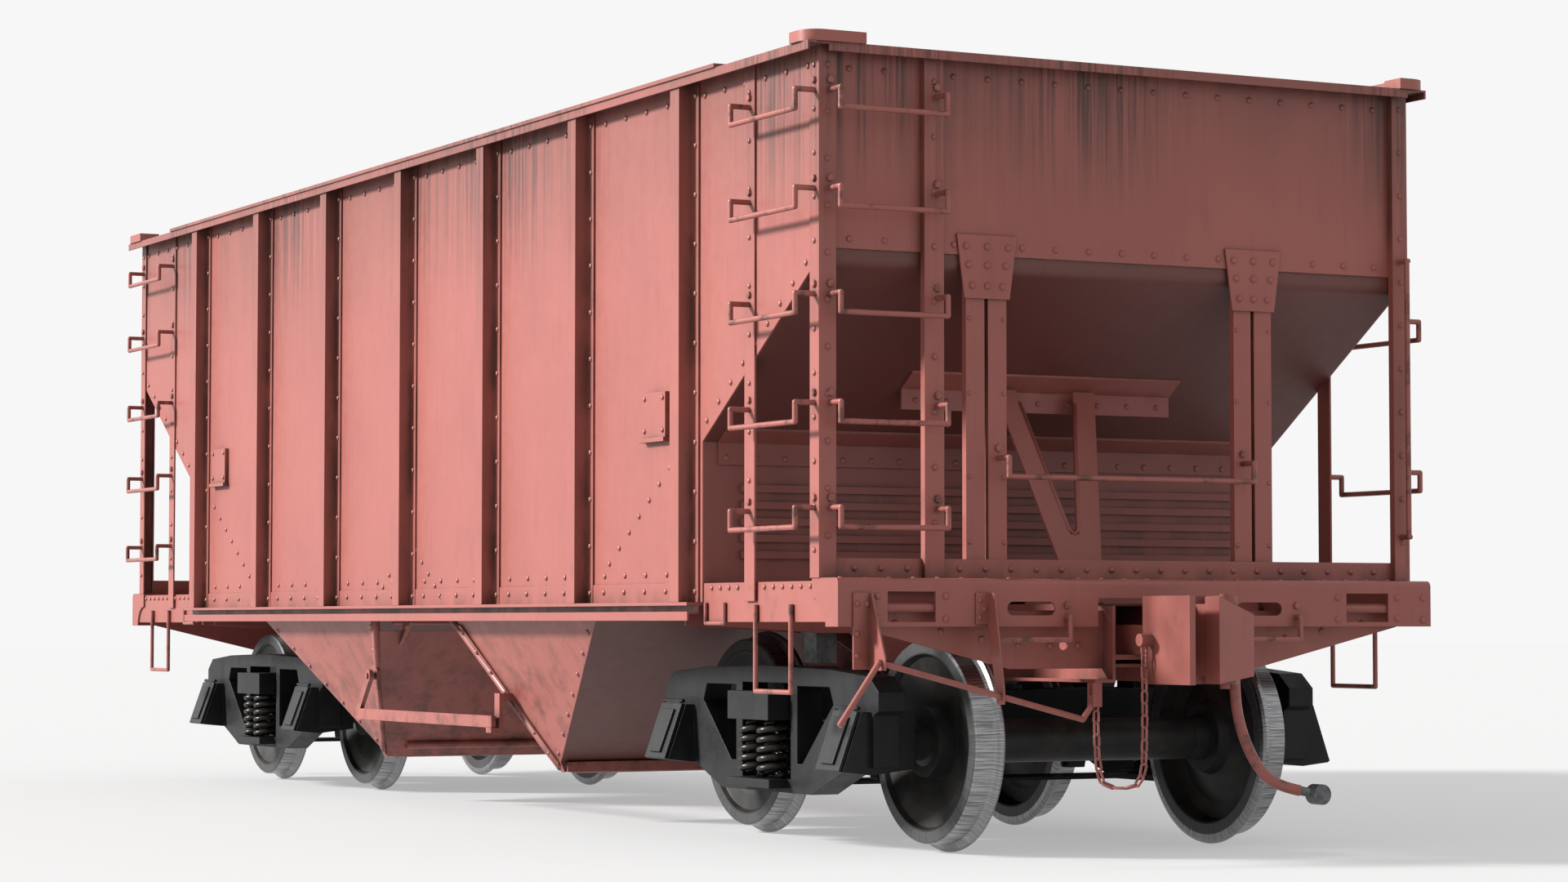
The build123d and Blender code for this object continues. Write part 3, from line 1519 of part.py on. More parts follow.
# --- assembly -----------------------------------------------------------------
yoke_pieces, yoke_carriers = draft_yoke()
deck = block(
    (3620, 4560), (-centre_sill_half_width, centre_sill_half_width), (centre_sill_top_z, draft_deck_z),
)
hose, hose_length = brake_hose()
parts = {
    "centre_sill": centre_sill() + both_ends(yoke_carriers + [deck]),
    "side_sills": side_sills(),
    "end_sills": both_ends(end_sill() + end_cross_plate()),
    "body_bolsters": both_ends(body_bolster()),
    "body_bearings": both_ends(body_bearings()),
    "side_sheets": both_sides(side_sheets()),
    "side_posts": both_sides(side_posts()),
    "corner_posts": both_ends(both_sides([corner_post()])),
    "top_rails": top_rails(),
    "corner_caps": both_ends(mirrored([corner_cap(True)]) + [corner_cap(False)]),
    "end_sheets": both_ends([end_sheet()]),
    "slope_sheets": both_ends(slope_sheet()),
    "ridge_sheets": ridge_sheets(),
    "hopper_chutes": hopper_chutes(),
    "bulkheads": both_ends(bulkhead()),
    "end_uprights": both_ends(end_uprights()),
    "slope_braces": both_ends(slope_braces()),
    "ladder_stiles": ladder_stiles(),
    "grab_irons": grab_irons(),
    "stirrup_steps": stirrup_steps(),
    "inspection_covers": inspection_covers(),
    "train_line": train_line(),
    "brake_cylinder": brake_cylinder(),
    "air_reservoir": air_reservoir(),
    "lever_brackets": both_ends(lever_brackets()),
    "uncoupling_chains": both_ends([chain_path()]),
    "handbrake_housing": handbrake_housing(),
    "handbrake_wheel": handbrake_wheel(),
    "door_lock_bar_right": [door_lock_bar()],
    "door_lock_bar_left": turned([door_lock_bar()]),
}
at_one_end = {
    "draft_yoke": yoke_pieces,
    "coupler": coupler(),
    "knuckle": [knuckle()],
    "uncoupling_lever": [uncoupling_lever()],
    "hopper_door": hopper_door(),
    "truck_frames": truck_frames(),
    "truck_bolster": truck_bolster(),
    "spring_nests": spring_nests(),
    "brake_rigging": brake_rigging(),
    "journal_lids_right": journal_lids(-1),
    "journal_lids_left": journal_lids(1),
    "outer_wheelset": wheelset(1),
    "inner_wheelset": wheelset(-1),
    "brake_hose": [hose],
    "gladhand": [gladhand()],
}
for name, shapes in at_one_end.items():
    parts[name + "_a"] = shapes
    parts[name + "_b"] = turned(shapes)

print("hose length", round(hose_length, 1), "arc radii", [round(radius) for radius in hose_radii()])
os.makedirs("parts", exist_ok=True)
for name, shapes in parts.items():
    export_step(Compound(label=name, children=shapes), f"parts/{name}.step")
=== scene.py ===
import math
import bpy
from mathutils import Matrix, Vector


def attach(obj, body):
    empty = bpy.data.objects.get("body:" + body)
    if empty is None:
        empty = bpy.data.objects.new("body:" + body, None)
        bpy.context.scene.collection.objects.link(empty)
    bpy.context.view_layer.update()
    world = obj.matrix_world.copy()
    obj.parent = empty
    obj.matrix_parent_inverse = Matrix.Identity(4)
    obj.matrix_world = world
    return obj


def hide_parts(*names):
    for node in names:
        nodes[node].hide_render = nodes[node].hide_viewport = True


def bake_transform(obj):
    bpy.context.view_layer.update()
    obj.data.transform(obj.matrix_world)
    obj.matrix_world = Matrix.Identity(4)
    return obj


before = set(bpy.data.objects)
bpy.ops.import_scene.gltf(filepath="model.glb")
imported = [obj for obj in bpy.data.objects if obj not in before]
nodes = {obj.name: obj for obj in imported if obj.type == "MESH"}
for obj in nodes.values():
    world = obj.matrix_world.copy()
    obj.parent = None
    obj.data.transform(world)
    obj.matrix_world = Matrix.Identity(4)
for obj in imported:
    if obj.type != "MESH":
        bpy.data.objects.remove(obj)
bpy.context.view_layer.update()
scene = bpy.context.scene

# Metres in the row frame: +X to the A end, +Y to the car's left, +Z up, z = 0 under the flanges.
# The B end is the A end turned half a turn about Z.

# --- camera ---------------------------------------------------------------------
SENSOR_MM = 36.0
LENS_MM = 83.98
VIEW_DEPTH = 200.0
CAMERA_PLACE = (18.0902, -8.6916, 0.9948)
CAMERA_AIM = Vector((-0.88595, 0.46111, 0.04976))

camera_data = bpy.data.cameras.new("camera")
camera = bpy.data.objects.new("camera", camera_data)
scene.collection.objects.link(camera)
camera_data.sensor_width = SENSOR_MM
camera_data.lens = LENS_MM
camera_data.clip_end = VIEW_DEPTH
camera.location = CAMERA_PLACE
camera.rotation_euler = CAMERA_AIM.to_track_quat("-Z", "Y").to_euler()
scene.camera = camera

# --- air hoses: the free cords --------------------------------------------------
HOSE = [
    (4.905, 0.372, 0.800),
    (4.905, 0.372, 0.690),
    (4.921, 0.382, 0.565),
    (4.962, 0.406, 0.440),
    (5.012, 0.442, 0.345),
    (5.062, 0.500, 0.292),
    (5.098, 0.575, 0.275),
]
HOSE_WIDTH = 0.048
HOSE_STEPS = 24
HOSE_ROUNDNESS = 6


def turned_point(point, turned):
    """The point itself, or the same point at the other end of the car."""
    x, y, z = point
    return (-x, -y, z) if turned else (x, y, z)


hoses = []
for end, turned in (("a", False), ("b", True)):
    curve = bpy.data.curves.new("air_hose_" + end, "CURVE")
    curve.dimensions = "3D"
    spline = curve.splines.new("NURBS")
    spline.points.add(len(HOSE) - 1)
    for point, place in zip(spline.points, HOSE):
        point.co = (*turned_point(place, turned), 1.0)
        point.radius = HOSE_WIDTH / 2  # scales bevel_depth, which is one metre
    spline.order_u = 3
    spline.use_endpoint_u = True
    spline.resolution_u = HOSE_STEPS
    curve.bevel_depth = 1.0
    curve.bevel_resolution = HOSE_ROUNDNESS
    curve.use_fill_caps = True
    hose = bpy.data.objects.new("air_hose_" + end, curve)
    scene.collection.objects.link(hose)
    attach(hose, "car_body")
    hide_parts("brake_hose_" + end)
    hoses.append(hose)


# --- materials ------------------------------------------------------------------
class Graph:
    """Small helper that adds shader nodes and wires them up."""

    def __init__(self, name):
        self.material = bpy.data.materials.new(name)
        self.material.use_nodes = True
        self.tree = self.material.node_tree
        self.shader = self.tree.nodes["Principled BSDF"]
        self.place = self.tree.nodes.new("ShaderNodeTexCoord").outputs["Object"]

    def add(self, kind, **values):
        node = self.tree.nodes.new(kind)
        for key, value in values.items():
            setattr(node, key, value)
        return node

    def plug(self, value, socket):
        if hasattr(value, "is_linked"):
            self.tree.links.new(value, socket)
        else:
            socket.default_value = value

    def math(self, operation, a, b=0.0, c=0.0, clamp=False):
        node = self.add("ShaderNodeMath", operation=operation, use_clamp=clamp)
        for value, socket in zip((a, b, c), node.inputs):
            self.plug(value, socket)
        return node.outputs[0]

    def scaled(self, vector, scale, offset=(0, 0, 0)):
        node = self.add("ShaderNodeMapping")
        self.plug(vector, node.inputs["Vector"])
        node.inputs["Scale"].default_value = scale
        node.inputs["Location"].default_value = offset
        return node.outputs[0]

    def noise(self, scale, detail=3.0, stretch=(1, 1, 1), rough=0.55, offset=(0, 0, 0)):
        node = self.add("ShaderNodeTexNoise")
        self.plug(self.scaled(self.place, stretch, offset), node.inputs["Vector"])
        node.inputs["Scale"].default_value = scale
        node.inputs["Detail"].default_value = detail
        node.inputs["Roughness"].default_value = rough
        return node.outputs["Fac"]

    def step(self, value, low, high):
        node = self.add("ShaderNodeMapRange", interpolation_type="SMOOTHSTEP")
        self.plug(value, node.inputs["Value"])
        node.inputs["From Min"].default_value = low
        node.inputs["From Max"].default_value = high
        return node.outputs["Result"]

    def axes(self):
        node = self.add("ShaderNodeSeparateXYZ")
        self.plug(self.place, node.inputs[0])
        return node.outputs

    def mix(self, share, first, second):
        node = self.add("ShaderNodeMix", data_type="RGBA")
        self.plug(share, node.inputs["Factor"])
        for value, socket in ((first, node.inputs[6]), (second, node.inputs[7])):
            if isinstance(value, tuple):
                value = (*value, 1.0)
            self.plug(value, socket)
        return node.outputs[2]

    def bump(self, height, strength, distance, soft=None):
        node = self.add("ShaderNodeBump")
        self.plug(height, node.inputs["Height"])
        node.inputs["Strength"].default_value = strength
        node.inputs["Distance"].default_value = distance
        if soft:
            bevel = self.add("ShaderNodeBevel", samples=4)
            bevel.inputs["Radius"].default_value = soft
            self.tree.links.new(bevel.outputs[0], node.inputs["Normal"])
        self.tree.links.new(node.outputs[0], self.shader.inputs["Normal"])

    def finish(self, colour, roughness, metallic=0.0, specular=0.5, coat=0.0):
        self.plug(colour, self.shader.inputs["Base Color"])
        self.plug(roughness, self.shader.inputs["Roughness"])
        self.shader.inputs["Metallic"].default_value = metallic
        self.shader.inputs["Specular IOR Level"].default_value = specular
        self.shader.inputs["Coat Weight"].default_value = coat
        self.shader.inputs["Coat Roughness"].default_value = 0.25
        return self.material


PAINT = (0.235, 0.066, 0.053)
PAINT_DARK = (0.165, 0.042, 0.033)
RUST = (0.036, 0.015, 0.008)
GRIME = (0.014, 0.009, 0.007)
DIRTY_TOP = (0.052, 0.022, 0.014)
OLD_RUST = (0.045, 0.022, 0.010)
# Painted shade: the slope sheets face the floor and the bulkheads sit under the overhang, so their
# paint is darkened by these factors.
SLOPE_PAINTED_SHADE = 0.42
BULKHEAD_PAINTED_SHADE = 0.80
RUN_TOP_Z = 3.36
FADE_POWER = 1.6
CORNER_REACH = 0.09
DUST_TOP_Z = 1.5
DUST_FULL_Z = 0.2


def darker(colour, factor):
    return tuple(c * factor for c in colour)


def paint(name, streaks=0.0, streak_foot=2.2, corner_shade_and_dirt=0.25, rust=0.2, low_dirt=0.3, shade=1.0):
    """Red oxide paint: dark runs from the rim, blotches of rust, dirt towards the ground, painted
    shade in corners.

    streaks, rust and low_dirt, and the strength of the corner layer, say how strong each layer is;
    the runs end at streak_foot. The corner layer is painted shade from ambient occlusion, in
    patches of rust-coloured dirt; shade scales the whole paint darker as painted shade.
    """
    g = Graph(name)
    axis = g.axes()
    soft = g.noise(1.3, 4.0)
    fine = g.noise(9.0, 5.0, (3.0, 3.0, 0.25))
    # Painted shade: the shade factor darkens the whole paint of sheets that lie in shade.
    paint_with_painted_shade = darker(PAINT, shade)
    tone = g.mix(g.step(soft, 0.3, 0.75), paint_with_painted_shade, darker(paint_with_painted_shade, 0.88))
    fine_share = g.math("MULTIPLY", g.step(fine, 0.5, 0.8), 0.35)
    tone = g.mix(fine_share, tone, darker(PAINT_DARK, shade))
    blotch = g.step(g.noise(5.0, 6.0, (1.0, 1.0, 0.45), 0.7, (3, 1, 7)), 0.60, 0.74)
    tone = g.mix(g.math("MULTIPLY", blotch, rust), tone, RUST)
    if streaks:
        runs = g.step(g.noise(3.2, 8.0, (9.0, 9.0, 0.14), 0.78, (1, 5, 2)), 0.42, 0.62)
        where = g.step(g.noise(0.9, 2.0, (1.1, 1.1, 0.02), 0.5, (8, 2, 0)), 0.36, 0.62)
        fade = g.step(axis[2], streak_foot, RUN_TOP_Z)
        fade = g.math("POWER", fade, FADE_POWER)
        cloud = g.step(g.noise(1.1, 3.0, (1, 1, 0.2), 0.5, (4, 4, 1)), 0.30, 0.62)
        veil = g.math("MULTIPLY", fade, cloud)
        tone = g.mix(g.math("MULTIPLY", veil, 0.34), tone, DIRTY_TOP)
        runs = g.math("MULTIPLY", g.math("MULTIPLY", runs, where), fade)
        tone = g.mix(g.math("MULTIPLY", runs, streaks, clamp=True), tone, GRIME)
    if low_dirt:
        foot = g.step(axis[2], DUST_TOP_Z, DUST_FULL_Z)
        patches = g.step(g.noise(7.0, 6.0, (1, 1, 1), 0.7, (5, 5, 5)), 0.42, 0.7)
        dust = g.math("MULTIPLY", foot, patches)
        tone = g.mix(g.math("MULTIPLY", dust, low_dirt), tone, RUST)
    if corner_shade_and_dirt:
        # Painted shade: ambient occlusion darkens corners and gaps towards the rust colour, broken
        # into noise patches that also stand for dirt.
        corner = g.add("ShaderNodeAmbientOcclusion", samples=4)
        corner.inputs["Distance"].default_value = CORNER_REACH
        dark = g.math("SUBTRACT", 1.0, corner.outputs["AO"], clamp=True)
        patches = g.step(g.noise(6.0, 5.0, (1, 1, 0.4), 0.6, (2, 9, 4)), 0.35, 0.65)
        dark = g.math("MULTIPLY", dark, patches)
        tone = g.mix(g.math("MULTIPLY", dark, corner_shade_and_dirt * 3.0, clamp=True), tone, RUST)
    rough = g.math("MULTIPLY_ADD", g.noise(14.0, 4.0), 0.22, 0.34)
    g.bump(g.noise(38.0, 3.0), 0.12, 0.004, 0.004)
    return g.finish(tone, rough, specular=0.38, coat=0.05)


def black_steel(name, base=(0.0048, 0.0048, 0.0050), rough=0.46, rust=0.12):
    """Sooty cast steel with a little rust on it."""
    g = Graph(name)
    tone = g.mix(g.step(g.noise(6.0, 5.0), 0.4, 0.7), base, darker(base, 1.9))
    worn = g.step(g.noise(11.0, 6.0, (1, 1, 1), 0.7, (4, 2, 6)), 0.60, 0.78)
    tone = g.mix(g.math("MULTIPLY", worn, rust), tone, OLD_RUST)
    g.bump(g.noise(60.0, 4.0), 0.25, 0.004, 0.006)
    dull = g.math("MULTIPLY_ADD", g.noise(18.0, 4.0), 0.25, rough - 0.1)
    return g.finish(tone, dull, specular=0.2)


AXLE_Z = 0.479
TREAD_RADIUS = (0.4345, 0.4395)
RIM_RADIUS = (0.386, 0.392)
HUB_RADIUS = (0.32, 0.12)


def wheel_steel(name, axle_x):
    """Dark cast wheel with a grey rim, whose tread and flange are scratched bare."""
    g = Graph(name)
    axis = g.axes()
    dx = g.math("SUBTRACT", axis[0], axle_x)
    dz = g.math("SUBTRACT", axis[2], AXLE_Z)
    squares = g.math("ADD", g.math("MULTIPLY", dx, dx), g.math("MULTIPLY", dz, dz))
    radius = g.math("SQRT", squares)
    angle = g.math("ARCTAN2", dz, dx)
    comb = g.add("ShaderNodeCombineXYZ")
    g.plug(g.math("MULTIPLY", angle, 34.0), comb.inputs[0])
    g.plug(g.math("MULTIPLY", g.math("ABSOLUTE", axis[1]), 2.0), comb.inputs[1])
    scratch = g.add("ShaderNodeTexNoise")
    g.tree.links.new(comb.outputs[0], scratch.inputs["Vector"])
    scratch.inputs["Scale"].default_value = 2.2
    scratch.inputs["Detail"].default_value = 6.0
    scratch.inputs["Roughness"].default_value = 0.7
    on_tread = g.step(radius, *TREAD_RADIUS)
    inside = g.math("SUBTRACT", 1.0, on_tread, clamp=True)
    side_ring = g.math("MULTIPLY", g.step(radius, *RIM_RADIUS), inside)
    cast = g.step(g.noise(7.0, 5.0), 0.35, 0.7)
    dark = g.mix(cast, (0.007, 0.0068, 0.0065), (0.022, 0.020, 0.018))
    hub = g.step(radius, *HUB_RADIUS)
    dark = g.mix(g.math("MULTIPLY", hub, 0.4), dark, (0.010, 0.010, 0.010))
    rust = g.step(g.noise(4.0, 6.0, (1, 1, 1), 0.7, (6, 1, 2)), 0.52, 0.7)
    dark = g.mix(g.math("MULTIPLY", rust, 0.35), dark, (0.050, 0.032, 0.018))
    scratches = scratch.outputs["Fac"]
    grey = g.mix(g.step(scratches, 0.35, 0.65), (0.045, 0.045, 0.046), (0.075, 0.075, 0.075))
    tone = g.mix(side_ring, dark, grey)
    bright = g.mix(g.step(scratches, 0.38, 0.62), (0.13, 0.13, 0.133), (0.36, 0.36, 0.37))
    tone = g.mix(on_tread, tone, bright)
    g.plug(tone, g.shader.inputs["Base Color"])
    metal = g.math("MAXIMUM", on_tread, g.math("MULTIPLY", side_ring, 0.7))
    g.plug(metal, g.shader.inputs["Metallic"])
    g.plug(g.math("MULTIPLY_ADD", on_tread, -0.14, 0.46), g.shader.inputs["Roughness"])
    g.shader.inputs["Specular IOR Level"].default_value = 0.2
    g.bump(g.noise(50.0, 3.0), 0.15, 0.003, 0.004)
    return g.material


def grey_metal(name, base, rough=0.38, metallic=0.7):
    """Bare fittings, unevenly dull."""
    g = Graph(name)
    tone = g.mix(g.step(g.noise(30.0, 5.0), 0.35, 0.7), base, darker(base, 0.55))
    g.bump(g.noise(90.0, 3.0), 0.2, 0.002, 0.003)
    return g.finish(tone, g.math("MULTIPLY_ADD", g.noise(24.0), 0.2, rough), metallic=metallic)


def worn_bar(name):
    """Painted bar whose middle is rubbed dark by hands and boots."""
    g = Graph(name)
    wear = g.step(g.noise(9.0, 5.0, (1, 1, 1), 0.7), 0.50, 0.66)
    tone = g.mix(wear, darker(PAINT, 0.95), (0.075, 0.024, 0.016))
    g.bump(g.noise(60.0, 3.0), 0.1, 0.003)
    return g.finish(tone, 0.42, specular=0.45)


side_paint = paint(
    "paint_sides", streaks=0.85, streak_foot=2.35, corner_shade_and_dirt=0.30, rust=0.10, low_dirt=0.0
)
post_paint = paint(
    "paint_posts", streaks=0.75, streak_foot=2.0, corner_shade_and_dirt=0.55, rust=0.55, low_dirt=0.0
)
end_paint = paint(
    "paint_ends", streaks=0.95, streak_foot=2.55, corner_shade_and_dirt=0.30, rust=0.12, low_dirt=0.0
)
frame_paint = paint("paint_frame", corner_shade_and_dirt=0.40, rust=0.30, low_dirt=0.25)
hopper_paint = paint("paint_hoppers", corner_shade_and_dirt=0.55, rust=0.30, low_dirt=0.75)
# Painted shade: slope sheets and bulkheads get paint darkened for the shade they lie in.
slope_paint = paint("paint_slopes", corner_shade_and_dirt=0.40, rust=0.20, low_dirt=0.10, shade=SLOPE_PAINTED_SHADE)
bulkhead_paint = paint(
    "paint_bulkheads", corner_shade_and_dirt=0.45, rust=0.25, low_dirt=0.10, shade=BULKHEAD_PAINTED_SHADE
)
hose_paint = worn_bar("hose_red")
bar_paint = worn_bar("paint_bars")
truck_black = black_steel("truck_black")
spring_black = black_steel("spring_black", (0.009, 0.008, 0.007), 0.28, 0.30)
fitting_grey = grey_metal("fitting_grey", (0.12, 0.125, 0.13))

BY_NODE = {
    "side_sheets": side_paint,
    "top_rails": post_paint,
    "corner_caps": frame_paint,
    "side_posts": post_paint,
    "corner_posts": post_paint,
    "ladder_stiles": post_paint,
    "end_sheets": end_paint,
    "slope_sheets": slope_paint,
    "bulkheads": bulkhead_paint,
    "inspection_covers": post_paint,
    "grab_irons": bar_paint,
    "stirrup_steps": bar_paint,
    "hopper_chutes": hopper_paint,
    "hopper_door": hopper_paint,
    "door_lock_bar": hopper_paint,
    "body_bearings": fitting_grey,
    "gladhand": fitting_grey,
    "truck_frames": truck_black,
    "truck_bolster": truck_black,
    "brake_rigging": truck_black,
    "journal_lids": truck_black,
    "spring_nests": spring_black,
}
AXLES = {
    "outer_wheelset_a": 4.239,
    "inner_wheelset_a": 2.527,
    "outer_wheelset_b": -4.239,
    "inner_wheelset_b": -2.527,
}


def dress(thing, material):
    """Gives a thing this one material."""
    thing.data.materials.clear()
    thing.data.materials.append(material)


for name, thing in nodes.items():
    if name in AXLES:
        dress(thing, wheel_steel("wheel_" + name, AXLES[name]))
        continue
    found = [stem for stem in BY_NODE if name.startswith(stem)]
    dress(thing, BY_NODE[max(found, key=len)] if found else frame_paint)
for hose in hoses:
    dress(hose, hose_paint)


# --- building pieces ------------------------------------------------------------
SUNK = 0.0006


def seat(at, normal):
    """Axes of a small head on a surface, and its foot, sunk a little into the surface."""
    normal = Vector(normal).normalized()
    side = normal.orthogonal().normalized()
    other = normal.cross(side)
    return normal, side, other, Vector(at) - normal * SUNK


class Builder:
    """Collects geometry in one mesh, in metres in the row frame."""

    def __init__(self):
        self.points = []
        self.faces = []

    def patch(self, points, faces):
        """Adds faces whose numbers count from the first of these points."""
        start = len(self.points)
        self.points += [tuple(p) for p in points]
        self.faces += [tuple(start + i for i in face) for face in faces]

    def dome(self, at, normal, radius, height, sides=10):
        """Round rivet head."""
        normal, side, other, at = seat(at, normal)
        points = []
        for reach, lift in ((1.0, 0.0), (0.90, 0.55), (0.55, 0.92)):
            for index in range(sides):
                turn = math.tau * index / sides
                flat = side * math.cos(turn) + other * math.sin(turn)
                points.append(at + flat * radius * reach + normal * height * lift)
        points.append(at + normal * height)
        faces = []
        for level in range(2):
            for index in range(sides):
                after = (index + 1) % sides
                base = level * sides
                above = base + sides
                faces.append((base + index, base + after, above + after, above + index))
        for index in range(sides):
            faces.append((2 * sides + index, 2 * sides + (index + 1) % sides, 3 * sides))
        self.patch(points, faces)

    def bolt(self, at, normal, radius, height):
        """Hexagon head."""
        normal, side, other, at = seat(at, normal)
        points = []
        for lift, reach in ((0.0, 1.0), (height * 0.85, 1.0), (height, 0.86)):
            for index in range(6):
                turn = math.tau * index / 6
                flat = side * math.cos(turn) + other * math.sin(turn)
                points.append(at + flat * radius * reach + normal * lift)
        faces = [tuple(range(12, 18))]
        for level in range(2):
            for index in range(6):
                after = (index + 1) % 6
                base = level * 6
                faces.append((base + index, base + after, base + 6 + after, base + 6 + index))
        self.patch(points, faces)

    def block(self, low, high):
        """Box between two corners, each number of low below that of high."""
        points = []
        for index in range(8):
            points.append([(low, high)[(index >> axis) & 1][axis] for axis in range(3)])
        faces = [(0, 2, 3, 1), (4, 5, 7, 6), (0, 1, 5, 4), (2, 6, 7, 3), (0, 4, 6, 2), (1, 3, 7, 5)]
        self.patch(points, faces)

    def tube(self, path, radius, sides=10, closed=False):
        """Round bar along a list of points."""
        path = [Vector(p) for p in path]
        count = len(path)
        points = []
        up = None
        for index, here in enumerate(path):
            ahead = path[(index + 1) % count] if closed or index < count - 1 else here
            behind = path[index - 1] if closed or index > 0 else here
            along = (ahead - behind).normalized()
            if up is None:
                up = along.orthogonal().normalized()
            up = (up - along * up.dot(along)).normalized()
            other = along.cross(up)
            for k in range(sides):
                turn = math.tau * k / sides
                points.append(here + (up * math.cos(turn) + other * math.sin(turn)) * radius)
        faces = []
        rings = count if closed else count - 1
        for index in range(rings):
            here = index * sides
            after = (index + 1) % count * sides
            for k in range(sides):
                k2 = (k + 1) % sides
                faces.append((here + k, here + k2, after + k2, after + k))
        if not closed:
            faces.append(tuple(range(sides - 1, -1, -1)))
            faces.append(tuple(range((count - 1) * sides, count * sides)))
        self.patch(points, faces)

    def copy(self, turned=False, mirrored=False):
        """The same geometry, turned to the other end or mirrored to the other side."""
        other = Builder()
        sx = -1 if turned else 1
        sy = (-1 if turned else 1) * (-1 if mirrored else 1)
        other.points = [(x * sx, y * sy, z) for x, y, z in self.points]
        other.faces = [tuple(reversed(face)) if mirrored else face for face in self.faces]
        return other

    def join(self, other):
        self.patch(other.points, other.faces)

    def make(self, name, material, body=None, slot=None, smooth=True):
        mesh = bpy.data.meshes.new(name)
        mesh.from_pydata(self.points, [], self.faces)
        mesh.update()
        if smooth:
            mesh.shade_smooth()
        thing = bpy.data.objects.new(name, mesh)
        scene.collection.objects.link(thing)
        mesh.materials.append(material)
        if body:
            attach(thing, body)
        return thing


def four_ways(builder):
    """The same pieces at both ends and on both sides."""
    whole = Builder()
    for turned in (False, True):
        for mirrored in (False, True):
            whole.join(builder.copy(turned, mirrored))
    return whole


def two_sides(builder):
    """The same pieces on both sides."""
    whole = Builder()
    whole.join(builder)
    whole.join(builder.copy(mirrored=True))
    return whole


def two_ends(builder):
    """The same pieces at both ends."""
    whole = Builder()
    whole.join(builder)
    whole.join(builder.copy(True))
    return whole


def spread(low, high, count):
    """Evenly spaced values, both ends included."""
    return [low + (high - low) * index / (count - 1) for index in range(count)]


# --- rivets ---------------------------------------------------------------------
RIVET = 0.0145
HEAD = 0.009
SHEET_Y = 1.514
FLANGE_Y = 1.523
SILL_Y = 1.508
CORNER_X = 4.592
STILE_X = 3.992
POST_PITCH = 1.127
POSTS = [(index - 3) * POST_PITCH for index in range(7)]
POST_HALF_WIDTH = 0.109
FLANGE_ROW = 0.078
PANEL_TOP_Z = 3.345
PANEL_FOOT_Z = 1.214
PANEL_HALF_ROW = 0.335
LAP = 0.006
LAP_ROW_Z = 1.138
LAP_LOW_Z = 1.088
LAP_HIGH_Z = 1.174
SLOPE_FOOT_X = 1.240
SLOPE_FOOT_Z = 0.300
SLOPE = 0.66
RIDGE_Z = 1.493
RIDGE_SLOPE = 0.70


def slope_z(x):
    """Height of the slope sheet."""
    return SLOPE_FOOT_Z + SLOPE * (x - SLOPE_FOOT_X)


side = Builder()
for x in POSTS:
    for z in spread(1.136, 3.352, 11):
        for hand in (-1, 1):
            side.dome((x + hand * FLANGE_ROW, FLANGE_Y, z), (0, 1, 0), RIVET, HEAD)
strips = Builder()
for left, right in zip(POSTS, POSTS[1:]):
    middle = (left + right) / 2
    for x in spread(middle - PANEL_HALF_ROW, middle + PANEL_HALF_ROW, 4):
        side.dome((x, SHEET_Y, PANEL_TOP_Z), (0, 1, 0), RIVET, HEAD)
        side.dome((x, SHEET_Y, PANEL_FOOT_Z), (0, 1, 0), RIVET, HEAD)
        side.dome((x, SHEET_Y + LAP, LAP_ROW_Z), (0, 1, 0), RIVET, HEAD)
    strips.block(
        (left + POST_HALF_WIDTH, SHEET_Y, LAP_LOW_Z),
        (right - POST_HALF_WIDTH, SHEET_Y + LAP, LAP_HIGH_Z),
    )
# Beyond the outer posts: along the rim, the slope sheet, the ridge sheet and the corner post
for end in (-1, 1):
    for x in spread(3.540, 4.520, 6):
        side.dome((end * x, SHEET_Y, PANEL_TOP_Z), (0, 1, 0), RIVET, HEAD)
    for x in spread(3.56, 4.50, 9):
        side.dome((end * x, SHEET_Y, slope_z(x) + 0.062), (0, 1, 0), RIVET, HEAD)
    for x in spread(2.534, 3.180, 7):
        side.dome((end * x, SHEET_Y, slope_z(x) + 0.118), (0, 1, 0), RIVET, HEAD)
    for x in spread(0.10, 0.46, 5):
        side.dome((end * x, SHEET_Y, RIDGE_Z - RIDGE_SLOPE * x - 0.045), (0, 1, 0), RIVET, HEAD)
    for z in spread(1.30, 3.34, 12):
        side.dome((end * CORNER_X, FLANGE_Y, z), (0, 1, 0), RIVET * 0.9, HEAD)
    for z in spread(1.40, 3.30, 10):
        side.dome((end * STILE_X, FLANGE_Y, z), (0, 1, 0), RIVET * 0.9, HEAD)
    for x in spread(3.60, 4.70, 14):
        side.dome((end * x, SILL_Y, 1.150), (0, 1, 0), RIVET * 0.85, HEAD)
two_sides(side).make("rivets_sides", side_paint, "car_body", "body_red")
two_sides(strips).make("lap_strips", side_paint, "car_body", "body_red", smooth=False)

END_SHEET_X = 4.597
END_POST_X = 4.633
END_SILL_X = 4.790
STEP_IRON_X = 4.798
CROSS_PLATE_X = 4.702
UPRIGHT_Y = 0.69
STILE_Y = 0.967
BULKHEAD_X = 3.526

end = Builder()
for y in spread(-1.36, 1.36, 17):
    from_stile = abs(y + STILE_Y)
    from_upright = abs(abs(y) - UPRIGHT_Y)
    if from_stile > 0.07:
        end.dome((END_SHEET_X, y, 3.335), (1, 0, 0), RIVET, HEAD)
    if min(from_upright, from_stile * 3) > 0.16:
        end.dome((END_SHEET_X, y, 2.613), (1, 0, 0), RIVET, HEAD)
